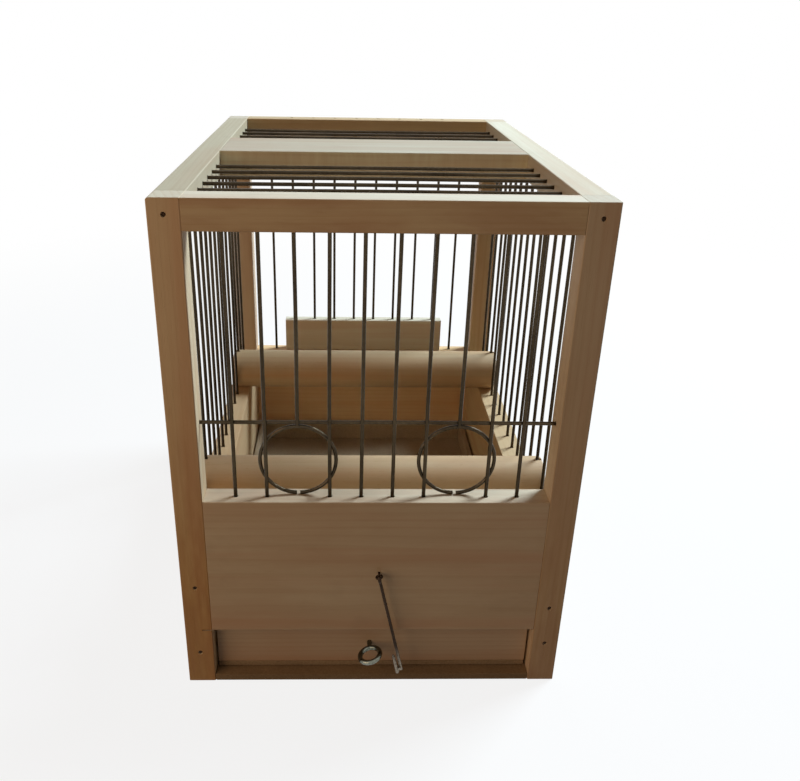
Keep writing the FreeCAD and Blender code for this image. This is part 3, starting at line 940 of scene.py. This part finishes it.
@dataclass
class Joinery(Assembly):
    """Timbers that are cut square, eased on their long edges and drilled for what goes into them."""

    arris: float = 0.5 * MM
    arris_steps: int = 3
    end_arris: float = 0.12 * MM
    end_facing: float = 0.9
    panel_steps: int = 2
    hole_clearance: float = 0.12 * MM
    mouth_depth: float = 0.35 * MM
    mouth_flare: float = 1.22
    hole_sides: int = 20

    def timber(self, stick: Stick, rods: Sequence[Rod]) -> Piece:
        """Model one timber over its node.

        Args:
            stick: The timber.
            rods: Wires, nails and shanks, of which those that reach in get a hole.

        Returns:
            The timber.
        """
        low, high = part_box(stick.node)
        piece = Bench.block(f"{stick.node}_timber", low, high)
        k = stick.grain.value

        def is_long(edge: Edge) -> bool:
            """Tell whether an edge runs along the grain."""
            return abs(edge.verts[0].co[k] - edge.verts[1].co[k]) > HAIR

        def is_end(edge: Edge) -> bool:
            """Tell whether an edge lies between an end and a long face."""
            return len({abs(face.normal[k]) > self.end_facing for face in edge.link_faces}) == 2

        Bench.ease(piece, self.arris, self.arris_steps, is_long)
        Bench.ease(piece, self.end_arris, 1, is_end)
        entering = [rod for rod in rods if rod.enters(low, high)]
        if entering:
            Bench.carve(piece, self.drill_bits(entering, low, high))
        return piece

    def drill_bits(self, rods: Sequence[Rod], low: Vector, high: Vector) -> Piece:
        """Model what a drill takes out for each rod, with a slightly torn mouth at the surface.

        Args:
            rods: What is set in the timber.
            low: The timber's lower corner.
            high: The timber's upper corner.

        Returns:
            All the bits as one object.
        """
        bits = []
        for rod in rods:
            k = rod.axis.value
            first, last = rod.span()
            bore = rod.radius + self.hole_clearance
            mouth = bore * self.mouth_flare
            depth = self.mouth_depth
            rings = [(first - self.hole_clearance, bore)]
            if first < low[k]:
                rings = [(low[k] - depth, mouth), (low[k], mouth), (low[k] + depth, bore)]
            if last > high[k]:
                rings += [(high[k] - depth, bore), (high[k], mouth), (high[k] + depth, mouth)]
            else:
                rings.append((last + self.hole_clearance, bore))
            line = rod.start.copy()
            line[k] = 0.0
            bits.append(Bench.turned("bit", rod.axis, line, rings, self.hole_sides))
        return Bench.join("bits", bits)

    def build(self, stick: Stick, rods: Sequence[Rod],
              shape: Callable[[Piece], None] | None = None) -> None:
        """Model and dress one timber.

        Args:
            stick: The timber.
            rods: What is set in the timbers.
            shape: Further work on the timber, if there is any.
        """
        piece = self.timber(stick, rods)
        if shape:
            shape(piece)
        self.hand_over(piece, stick.node, PALE_WOOD.slot, PALE_WOOD.material(stick))

    def panel(self, node: str, board: HardboardFinish) -> None:
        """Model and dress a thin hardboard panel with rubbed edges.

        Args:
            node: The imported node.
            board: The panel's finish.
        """
        piece = Bench.block(f"{node}_sheet", *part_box(node))
        Bench.ease(piece, self.arris, self.panel_steps, lambda edge: True)
        self.hand_over(piece, node, board.slot, board.material(f"{node}_hardboard"))


@dataclass
class CageFrame(Joinery):
    """Posts, top rails, the roof's cross board, the low boards and the base panel."""

    kerf_height: float = 0.7 * MM
    kerf_reach: float = 4.2 * MM
    kerf_depth: float = 0.9 * MM
    corner_wear: float = 1.4 * MM
    corner_cuts: tuple[float, ...] = (18.0, 36.0, 54.0, 72.0)
    # Besides the wood's own cast, the tones paint light and shade stick by stick, and each front shade
    # paints shade on an outer front face.
    sticks: tuple[Stick, ...] = (
        Stick("front_left_post", Axis.UP, 11, Tone.STRAW, tan=FrontShade(even=0.04, foot=0.96)),
        Stick("front_right_post", Axis.UP, 12, tan=FrontShade(even=0.0, foot=0.6)),
        Stick("rear_left_post", Axis.UP, 13),
        Stick("rear_right_post", Axis.UP, 14, Tone.HONEY),
        Stick("front_top_rail", Axis.ACROSS, 15, Tone.LIMED, tan=FrontShade(even=0.64, foot=0.0)),
        Stick("rear_top_rail", Axis.ACROSS, 16, Tone.TEA),
        Stick("left_top_rail", Axis.ALONG, 17, Tone.PEWTER),
        Stick("right_top_rail", Axis.ALONG, 18, Tone.BLEACHED),
        Stick("roof_cross_board", Axis.ACROSS, 19, Tone.SILVER, saw_marks_and_face_light=True),
        Stick("front_board", Axis.ACROSS, 36, Tone.SAND, tan=FrontShade(even=0.02, foot=0.04)),
        Stick("left_side_board", Axis.ALONG, 21, Tone.HONEY),
        Stick("right_side_board", Axis.ALONG, 22, Tone.TEA),
        Stick("rear_board", Axis.ACROSS, 23, Tone.AMBER),
    )

    def make(self, rods: Sequence[Rod]) -> None:
        """Model and dress every piece of the frame.

        Args:
            rods: What is set in the timbers.
        """
        shapes = {"front_left_post": self.slipped_post, "rear_left_post": self.worn_corner,
                  "left_top_rail": self.worn_corner}
        for stick in self.sticks:
            self.build(stick, rods, shapes.get(stick.node))
        self.panel("base_panel", BASE_BOARD)

    def worn_corner(self, timber: Piece) -> None:
        """Round the roof's rubbed-down left edge.

        Args:
            timber: A timber that the edge runs along.
        """
        low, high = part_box("front_left_post")
        middle = Vector((low.x + self.corner_wear, low.y, high.z - self.corner_wear))
        with Bench.editing(timber, "FACE"):
            for tilt in map(math.radians, self.corner_cuts):
                slope = Vector((-math.sin(tilt), 0.0, math.cos(tilt)))
                bpy.ops.mesh.select_all(action="SELECT")
                bpy.ops.mesh.bisect(plane_co=middle + slope * self.corner_wear, plane_no=slope,
                                    use_fill=True, clear_outer=True)

    def slipped_post(self, post: Piece) -> None:
        """Wear the left post's corner and cut its short saw slip, level with the drawer's top.

        Args:
            post: The left post.
        """
        self.worn_corner(post)
        low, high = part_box("front_left_post")
        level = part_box("front_board")[0].z
        half = self.kerf_height / 2.0
        near = Vector((high.x - self.kerf_reach, low.y - self.kerf_depth, level - half))
        far = Vector((high.x + self.kerf_depth, low.y + self.kerf_depth, level + half))
        Bench.carve(post, Bench.block("saw", near, far))


@dataclass
class WireWork(Assembly):
    """The wire walls and roof, the cross wire and the feeder rings."""

    sides: int = 16
    stations: int = 9
    end_round: float = 0.25 * MM
    bow: float = 0.22 * MM
    ring_sides: int = 16
    ring_steps: int = 96
    ring_split: float = 5.0
    rows: tuple[WireRow, ...] = (
        WireRow("front_wires", Axis.UP, Axis.ACROSS, 10, missing=(2, 7)),
        WireRow("front_short_wires", Axis.UP, Axis.ACROSS, 2),
        WireRow("left_side_wires", Axis.UP, Axis.ALONG, 15),
        WireRow("right_side_wires", Axis.UP, Axis.ALONG, 15),
        WireRow("front_roof_wires", Axis.ACROSS, Axis.ALONG, 6),
        WireRow("rear_roof_wires", Axis.ACROSS, Axis.ALONG, 5),
        WireRow("rear_left_wire", Axis.UP, Axis.ACROSS, 1),
        WireRow("rear_right_wire", Axis.UP, Axis.ACROSS, 1),
        WireRow("front_cross_wire", Axis.ACROSS, Axis.UP, 1),
    )
    rings: tuple[str, ...] = ("left_feeder_ring", "right_feeder_ring")

    def rods(self) -> list[Rod]:
        """List every wire that is set in the frame."""
        return [rod for row in self.rows for rod in row.rods()]

    def make(self) -> None:
        """Model and dress every row and both rings."""
        finish = STEEL_WIRE.material("drawn_steel_wire")
        for number, row in enumerate(self.rows):
            piece = self.row_of_wires(row, random.Random(number))
            self.hand_over(piece, row.node, STEEL_WIRE.slot, finish)
        for node in self.rings:
            self.hand_over(self.feeder_ring(node), node, STEEL_WIRE.slot, finish)

    def row_of_wires(self, row: WireRow, draw: random.Random) -> Piece:
        """Model one wire of a row and copy it along the row, each turned about its own axis.

        Args:
            row: The row.
            draw: Random draws, one for each wire's turn.

        Returns:
            The row as one object.
        """
        rods = row.rods()
        first = rods[0]
        pattern = Bench.turned(f"{row.node}_pattern", first.axis, first.start, self.wire_rings(first),
                               self.sides, self.bowed(first))
        wires = []
        for rod in rods:
            turn = Matrix.Rotation(draw.uniform(0.0, math.tau), 4, first.axis.unit())
            move = Matrix.Translation(rod.start) @ turn @ Matrix.Translation(-first.start)
            wires.append(Bench.copy(pattern, move))
        bpy.data.objects.remove(pattern)
        return Bench.join(f"{row.node}_steel", wires)

    def wire_rings(self, rod: Rod) -> Rings:
        """Give the rings of a wire with rounded ends.

        Args:
            rod: The wire.

        Returns:
            Each ring's place along the wire and its radius.
        """
        inner = rod.radius - self.end_round
        step = (rod.length - 2.0 * self.end_round) / (self.stations - 1)
        body = [(self.end_round + step * n, rod.radius) for n in range(self.stations)]
        return [(0.0, inner), *body, (rod.length, inner)]

    def bowed(self, rod: Rod) -> Callable[[float], Vector]:
        """Give the slight bow of a wire, which is nothing at its ends."""
        aside = Axis((rod.axis.value + 1) % 3).unit() * self.bow
        return lambda along: aside * math.sin(math.pi * along / rod.length) ** 2

    def feeder_ring(self, node: str) -> Piece:
        """Bend a ring that is split at its lowest point.

        Args:
            node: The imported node.

        Returns:
            The ring.
        """
        low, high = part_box(node)
        middle = middle_of(node)
        wire = (high.y - low.y) / 2.0
        radius = (high.x - low.x) / 2.0 - wire
        piece = Bench.hoop(f"{node}_steel", middle, Axis.ALONG, Axis.UP, radius, wire,
                           FULL_TURN - self.ring_split, (self.ring_sides, self.ring_steps))
        half_turn = Matrix.Rotation(math.pi, 4, "Y")
        piece.data.transform(Matrix.Translation(middle) @ half_turn @ Matrix.Translation(-middle))
        return piece


@dataclass
class Nails(Assembly):
    """The nails of the four corner posts: round shanks with small heads set into the wood.

    The head's rings are places along the nail and shares of its radius. The point's length and the
    least space between two nails are counted in radii.
    """

    corners: tuple[str, ...] = ("front_left", "front_right", "rear_left", "rear_right")
    sides: int = 20
    pit: float = 1.5 * MM
    spacing: float = 4.0
    head: tuple[tuple[float, float], ...] = (
        (0.0, 0.35), (-0.06 * MM, 0.7), (0.04 * MM, 0.95), (0.3 * MM, 1.0))
    point: float = 3.0
    neck: float = 0.94
    tip: float = 0.15

    def rods(self) -> dict[str, list[Rod]]:
        """List every nail; a corner's nails are told apart by their heights.

        Returns:
            The nails of each corner.
        """
        found: dict[str, list[Rod]] = {}
        for corner in self.corners:
            node = f"{corner}_nails"
            low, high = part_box(node)
            radius = (high.x - low.x) / 2.0
            across = (low.x + high.x) / 2.0
            found[corner] = [Rod(Vector((across, low.y, height)), Axis.ALONG, high.y - low.y, radius)
                             for height in self.levels(node, radius)]
        return found

    def pits(self) -> list[Rod]:
        """List the nails as the drill sees them, which come out at the post's face.

        Returns:
            The nails with their pits.
        """
        found = []
        for corner, rods in self.rods().items():
            back = self.pit if corner.startswith("front") else 0.0
            for rod in rods:
                start = rod.start - Vector((0.0, back, 0.0))
                found.append(Rod(start, rod.axis, rod.length + self.pit, rod.radius))
        return found

    def levels(self, node: str, radius: float) -> list[float]:
        """Find the heights of a node's nails from its points.

        Args:
            node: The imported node.
            radius: The nails' radius.

        Returns:
            The height of each nail's axis.
        """
        found: list[float] = []
        for z in sorted(point.co.z for point in bpy.data.objects[node].data.vertices):
            if not found or z - found[-1] > self.spacing * radius:
                found.append(z)
        return [z + radius for z in found]

    def make(self) -> None:
        """Model and dress the nails of each corner."""
        finish = NAIL_STEEL.material("nail_iron")
        for corner, rods in self.rods().items():
            nails = [self.nail(rod, corner) for rod in rods]
            piece = Bench.join(f"{corner}_nails_iron", nails)
            self.hand_over(piece, f"{corner}_nails", NAIL_STEEL.slot, finish)

    def nail(self, rod: Rod, corner: str) -> Piece:
        """Model one nail with a dished head outside and a tapered point inside the wood.

        Args:
            rod: The nail's axis and radius.
            corner: The nail's corner; a rear one has its head at the far end.

        Returns:
            The nail.
        """
        r = rod.radius
        rings = [(along, r * share) for along, share in self.head]
        rings += [(rod.length - self.point * r, r * self.neck), (rod.length, r * self.tip)]
        if corner.startswith("rear"):
            rings = [(rod.length - along, radius) for along, radius in reversed(rings)]
        return Bench.turned("nail", Axis.ALONG, rod.start, rings, self.sides)


@dataclass
class Perches(Assembly):
    """Two round perches, slotted at their ends to clip on a side wire."""

    sticks: tuple[Stick, ...] = (
        Stick("front_perch", Axis.ACROSS, 41, Tone.HONEY),
        # The rear perch's dark cast is painted shade.
        Stick("rear_perch", Axis.ACROSS, 42, Tone.TEA),
    )
    sides: int = 96
    end_round: float = 0.9 * MM
    end_curve: float = 0.3
    slot_clearance: float = 0.2 * MM

    def make(self) -> None:
        """Model and dress both perches."""
        for stick in self.sticks:
            piece = self.perch(stick.node)
            self.hand_over(piece, stick.node, PERCH_WOOD.slot, PERCH_WOOD.material(stick))

    def perch(self, node: str) -> Piece:
        """Turn a dowel with eased ends and saw its slots.

        Args:
            node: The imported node.

        Returns:
            The perch.
        """
        low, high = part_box(node)
        middle = middle_of(node)
        radius = (high.z - low.z) / 2.0
        half = (high.x - low.x) / 2.0
        soft = self.end_round
        knee = self.end_curve * soft
        end = [(half, radius - soft), (half - knee, radius - knee), (half - soft, radius)]
        rings = [(-along, r) for along, r in end] + end[::-1]
        piece = Bench.turned(f"{node}_turned", Axis.ACROSS, middle, rings, self.sides)
        for side, wires in ((-1.0, "left_side_wires"), (1.0, "right_side_wires")):
            wall_low, wall_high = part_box(wires)
            slot_half = (wall_high.x - wall_low.x) / 2.0 + self.slot_clearance
            slot_end = abs(wall_high.x + wall_low.x) / 2.0 - slot_half
            near = middle + Vector((side * slot_end, -slot_half, -2.0 * radius))
            far = middle + Vector((side * (half + soft), slot_half, 2.0 * radius))
            saw = Bench.block("slot", Vector(map(min, near, far)), Vector(map(max, near, far)))
            Bench.carve(piece, saw)
        return piece


@dataclass
class RearGate(Joinery):
    """The gate that lifts: a slat with eight wires that slide through the rear rail."""

    # The slat's pale cast is painted light.
    slat: Stick = Stick("rear_gate_slat", Axis.ACROSS, 51, Tone.BLEACHED)
    row: WireRow = WireRow("rear_gate_wires", Axis.UP, Axis.ACROSS, 8)
    rise: float = 100.0 * MM
    wire_seed: int = 9

    def bores(self) -> list[Rod]:
        """List the wires with the way that they lift, which the rear rail is drilled for."""
        return [Rod(rod.start, rod.axis, rod.length + self.rise, rod.radius) for rod in self.row.rods()]

    def make(self) -> None:
        """Model and dress the slat and its wires."""
        self.build(self.slat, self.row.rods())
        straight = WireWork("rear_gate", bow=0.0)
        piece = straight.row_of_wires(self.row, random.Random(self.wire_seed))
        finish = bpy.data.materials["drawn_steel_wire"]
        self.hand_over(piece, self.row.node, STEEL_WIRE.slot, finish)


@dataclass
class Drawer(Joinery):
    """The drawer: a wooden front, a hardboard floor with a low rim, and a screw eye to pull.

    The root, neck and end of the eye's stem are shares of the wire's radius.
    """

    front: Stick = Stick("drawer_front", Axis.ACROSS, 61, Tone.RUSSET)
    hole_clearance: float = 0.04 * MM
    mouth_flare: float = 1.05
    ring_diameter: float = 10.8 * MM
    wire_diameter: float = 2.1 * MM
    turn: float = 15.0
    slit: float = 2.0
    ring_steps: int = 72
    sides: int = 24
    root_sink: float = 0.6
    root: float = 0.8
    neck: float = 0.98
    end: float = 0.7
    end_round: float = 0.4 * MM

    def shank(self) -> Rod:
        """Find the eye's shank from its node's box.

        Returns:
            The shank.
        """
        low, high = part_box("pull_eye")
        start = middle_of("pull_eye")
        start.y = low.y + self.ring_diameter - self.wire_diameter / 2.0
        return Rod(start, Axis.ALONG, high.y - start.y, self.wire_diameter / 2.0)

    def make(self) -> None:
        """Model and dress the drawer and its eye."""
        self.build(self.front, [self.shank()])
        for node in ("drawer_floor", "drawer_left_side", "drawer_right_side", "drawer_back"):
            self.panel(node, TRAY_BOARD)
        eye = self.pull_eye()
        self.hand_over(eye, "pull_eye", BRIGHT_ZINC.slot, BRIGHT_ZINC.material("zinc_plate"))

    def pull_eye(self) -> Piece:
        """Model the screw eye: a bent ring, slit beside its neck, on a round shank.

        Returns:
            The eye.
        """
        low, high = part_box("pull_eye")
        centre = middle_of("pull_eye")
        centre.y = low.y + self.ring_diameter / 2.0
        wire = self.wire_diameter / 2.0
        radius = self.ring_diameter / 2.0 - wire
        ring = Bench.hoop("ring", Vector(), Axis.UP, Axis.ALONG, radius, wire, FULL_TURN - self.slit,
                          (self.sides, self.ring_steps))
        length = high.y - centre.y
        rings = [(radius - wire * self.root_sink, wire * self.root), (radius, wire * self.neck),
                 (length - self.end_round, wire), (length, wire * self.end)]
        stem = Bench.turned("stem", Axis.ALONG, Vector(), rings, self.sides)
        piece = Bench.join("pull_eye_zinc", [ring, stem])
        turn = Matrix.Rotation(-math.radians(self.turn), 4, "Y")
        piece.data.transform(Matrix.Translation(centre) @ turn)
        return piece


@dataclass
class HookEye(Assembly):
    """The small level wire eye in the front board that the hook hangs on.

    The root of its stem is in shares of the wire's radius.
    """

    lean: float = 12.5
    wire_diameter: float = 0.8 * MM
    ring_radius: float = 1.2 * MM
    ring_arc: float = 350.0
    sides: int = 16
    ring_steps: int = 48
    root_sink: float = 0.5
    root: float = 0.8

    def pivot(self) -> Vector:
        """Find the middle of the eye's front arc from its node's box.

        Returns:
            The point that the hook hangs from.
        """
        middle = middle_of("hook_eye")
        middle.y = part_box("hook_eye")[0].y + self.wire_diameter / 2.0
        return middle

    def shank(self) -> Rod:
        """Give the eye's shank."""
        start = self.pivot() + Vector((0.0, 2.0 * self.ring_radius, 0.0))
        return Rod(start, Axis.ALONG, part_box("hook_eye")[1].y - start.y, self.wire_diameter / 2.0)

    def hang(self, piece: Piece) -> None:
        """Take a piece from the pivot's own frame to its leaning place on the cage."""
        lean = Matrix.Rotation(-math.radians(self.lean), 4, "Y")
        piece.data.transform(Matrix.Translation(self.pivot()) @ lean)

    def make(self) -> None:
        """Model and dress the eye."""
        wire = self.wire_diameter / 2.0
        middle = Vector((0.0, self.ring_radius, 0.0))
        ring = Bench.hoop("ring", middle, Axis.UP, Axis.ALONG, self.ring_radius, wire, self.ring_arc,
                          (self.sides, self.ring_steps))
        back = 2.0 * self.ring_radius
        rings = [(back - wire * self.root_sink, wire * self.root), (back, wire),
                 (back + self.shank().length, wire)]
        stem = Bench.turned("stem", Axis.ALONG, Vector(), rings, self.sides)
        piece = Bench.join("hook_eye_wire", [ring, stem])
        self.hang(piece)
        self.hand_over(piece, "hook_eye", HOOK_STEEL.slot, HOOK_STEEL.material("hook_eye_steel"))


@dataclass
class DrawerHook(Assembly):
    """The wire hook: a closed loop on the eye, a straight shank and a twisted bend with a long tip.

    The shank's neck and the tip's end are shares of the wire's radius.
    """

    wire: float = 1.3 * MM
    loop_radius: float = 1.2 * MM
    loop_arc: float = 356.0
    length: float = 51.0 * MM
    bend_radius: float = 1.2 * MM
    tip: float = 10.0 * MM
    twist: float = 50.0
    neck: float = 0.98
    tip_end: float = 0.45
    sides: int = 18
    loop_steps: int = 48
    bend_steps: int = 20

    def make(self, eye: HookEye) -> None:
        """Model and dress the hook.

        Args:
            eye: The eye that it hangs on.
        """
        radius = self.wire / 2.0
        loop = Bench.hoop("loop", Vector(), Axis.ACROSS, Axis.ALONG, self.loop_radius, radius,
                          self.loop_arc, (self.sides, self.loop_steps))
        shank_end = self.length - self.bend_radius - radius
        rings = [(-self.loop_radius, radius * self.neck), (-shank_end, radius)]
        shank = Bench.turned("shank", Axis.UP, Vector(), rings, self.sides)
        self.bend(shank, shank_end, radius)
        piece = Bench.join("drawer_hook_wire", [loop, shank])
        eye.hang(piece)
        self.hand_over(piece, "drawer_hook", HOOK_STEEL.slot, HOOK_STEEL.material("hook_wire_steel"))

    def bend(self, shank: Piece, shank_end: float, radius: float) -> None:
        """Spin the shank's lower end round to the front and draw out its tip.

        Args:
            shank: The shank, in the pivot's own frame.
            shank_end: How far below the pivot the shank ends.
            radius: The wire's radius.
        """
        twist = math.radians(self.twist)
        forward = Vector((-math.sin(twist), -math.cos(twist), 0.0))
        foot = Vector((0.0, 0.0, -shank_end))
        tip = foot + forward * 2.0 * self.bend_radius + Vector((0.0, 0.0, self.tip))
        with Bench.editing(shank, "FACE") as mesh:
            lowest = min(mesh.faces, key=lambda face: face.calc_center_median().z)
            lowest.select_set(True)
            bmesh.update_edit_mesh(shank.data)
            bpy.ops.mesh.spin(steps=self.bend_steps, angle=math.pi,
                              center=foot + forward * self.bend_radius,
                              axis=forward.cross(Vector((0.0, 0.0, 1.0))))
            for rise in (self.tip - radius, radius):
                bpy.ops.mesh.extrude_region_move(TRANSFORM_OT_translate={"value": (0.0, 0.0, rise)})
            bpy.ops.transform.resize(value=(self.tip_end,) * 3, center_override=tip)
        Bench.face_outwards(shank)


@dataclass(frozen=True)
class Lamp:
    """A square soft lamp: its place and width in metres, its power in watts and its colour."""

    name: str
    place: tuple[float, float, float]
    width: float
    power: float
    colour: Colour

    def hang(self, target: Vector) -> None:
        """Hang the lamp so that it faces a point.

        Args:
            target: The point.
        """
        data = bpy.data.lights.new(self.name, "AREA")
        data.size = self.width
        data.energy = self.power
        data.color = self.colour
        lamp = bpy.data.objects.new(self.name, data)
        lamp.location = self.place
        lamp.rotation_euler = (target - Vector(self.place)).to_track_quat("-Z", "Y").to_euler()
        bpy.context.scene.collection.objects.link(lamp)


@dataclass
class Studio:
    """The camera of the photograph, soft lamps and a plain pale floor.

    The camera's angles are in degrees and its focal length and principal point in pixels.
    """

    camera_place: tuple[float, float, float] = (-0.0150, -0.3856, 0.2686)
    camera_yaw: float = 1.576
    camera_pitch: float = 24.615
    camera_roll: float = 0.963
    focal_pixels: float = 816.7
    principal: tuple[float, float] = (360.1, 383.4)
    image_size: tuple[int, int] = (800, 781)
    sensor: float = 36.0
    nearest: float = 0.01
    floor_size: float = 30.0
    floor_pale: Colour = (0.80, 0.79, 0.77)
    floor_bounce: Colour = (0.10, 0.065, 0.05)
    floor_white: float = 0.86
    floor_reach: tuple[float, float] = (0.25, 0.80)
    room_colour: Colour = (1.0, 0.76, 0.56)
    room_strength: float = 0.05
    lit_point: tuple[float, float, float] = (0.0, 0.0, 0.11)
    lamps: tuple[Lamp, ...] = (
        Lamp("key", (0.93, 0.52, 1.08), 0.55, 32.0, (0.81, 1.0, 1.17)),
        Lamp("fill", (-0.50, -0.46, 0.30), 0.50, 1.22, (1.0, 0.67, 0.41)),
    )

    def set_up(self) -> None:
        """Make the camera, the floor, the world and the lamps."""
        self.camera()
        self.floor()
        self.world()
        for lamp in self.lamps:
            lamp.hang(Vector(self.lit_point))
        bpy.context.scene.view_settings.view_transform = "Standard"

    def camera(self) -> None:
        """Stand the camera where the photograph was taken."""
        data = bpy.data.cameras.new("camera")
        data.sensor_width = self.sensor
        width, height = self.image_size
        data.lens = self.focal_pixels * self.sensor / width
        data.shift_x = (width / 2.0 - self.principal[0]) / width
        data.shift_y = (self.principal[1] - height / 2.0) / width
        data.clip_start = self.nearest
        turn = (Matrix.Rotation(math.radians(-self.camera_yaw), 4, "Z")
                @ Matrix.Rotation(math.radians(90.0 - self.camera_pitch), 4, "X")
                @ Matrix.Rotation(math.radians(self.camera_roll), 4, "Z"))
        camera = bpy.data.objects.new("camera", data)
        camera.matrix_world = Matrix.Translation(self.camera_place) @ turn
        bpy.context.scene.collection.objects.link(camera)
        bpy.context.scene.camera = camera

    def floor(self) -> None:
        """Lay a floor that the camera sees as white and that still takes the cage's shadow."""
        Bench.clear()
        bpy.ops.mesh.primitive_plane_add(size=self.floor_size, location=(0.0, 0.0, 0.0))
        floor = Bench.settle("floor")
        material, graph = new_material("floor_white")
        straight = graph.node("ShaderNodeLightPath", {}, {}, "Is Camera Ray")
        plain = graph.node("ShaderNodeBsdfDiffuse", {}, {
            "Color": graph.mix(straight, self.floor_bounce, self.floor_pale)})
        white = graph.node("ShaderNodeEmission", {}, {"Color": WHITE, "Strength": 1.0})
        place = graph.node("ShaderNodeTexCoord", {}, {}, "Object")
        away = graph.node("ShaderNodeVectorMath", {"operation": "LENGTH"}, {0: place}, "Value")
        share = away.smooth(*self.floor_reach) * (1.0 - self.floor_white) + self.floor_white
        factor = self.seen(graph) * share
        graph.end_in(graph.node("ShaderNodeMixShader", {}, {0: factor, 1: plain, 2: white}))
        floor.data.materials.append(material)

    def world(self) -> None:
        """Fill the room with a dim warm light behind a white backdrop."""
        world = bpy.data.worlds.new("room")
        bpy.context.scene.world = world
        world.use_nodes = True
        graph = Graph(world.node_tree)
        room = graph.node("ShaderNodeBackground", {}, {
            "Color": (*self.room_colour, 1.0), "Strength": self.room_strength})
        white = graph.node("ShaderNodeBackground", {}, {"Color": WHITE, "Strength": 1.0})
        shader = graph.node("ShaderNodeMixShader", {}, {0: self.seen(graph), 1: room, 2: white})
        graph.end_in(shader, "ShaderNodeOutputWorld")

    def seen(self, graph: Graph) -> Signal:
        """Mark the rays that show the backdrop: straight from the camera, mirrored or through glass.

        Args:
            graph: The graph of the floor or the world.

        Returns:
            1 on such a ray, else 0.
        """
        straight, mirrored, through = (
            graph.node("ShaderNodeLightPath", {}, {}, f"Is {kind} Ray")
            for kind in ("Camera", "Glossy", "Transmission"))
        return (straight + mirrored + through).clamp()


def main() -> None:
    """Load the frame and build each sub-assembly."""
    logging.basicConfig(level=logging.INFO, format="%(name)s %(message)s")
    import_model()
    wire_work = WireWork("cage")
    nails = Nails("cage")
    gate = RearGate("rear_gate")
    eye = HookEye("hook_swivel")
    set_in_wood = wire_work.rods() + nails.pits() + gate.bores() + [eye.shank()]
    CageFrame("cage").make(set_in_wood)
    wire_work.make()
    nails.make()
    Perches("cage").make()
    gate.make()
    Drawer("drawer").make()
    eye.make()
    DrawerHook("hook").make(eye)
    Studio().set_up()


if __name__ == "__main__":
    main()
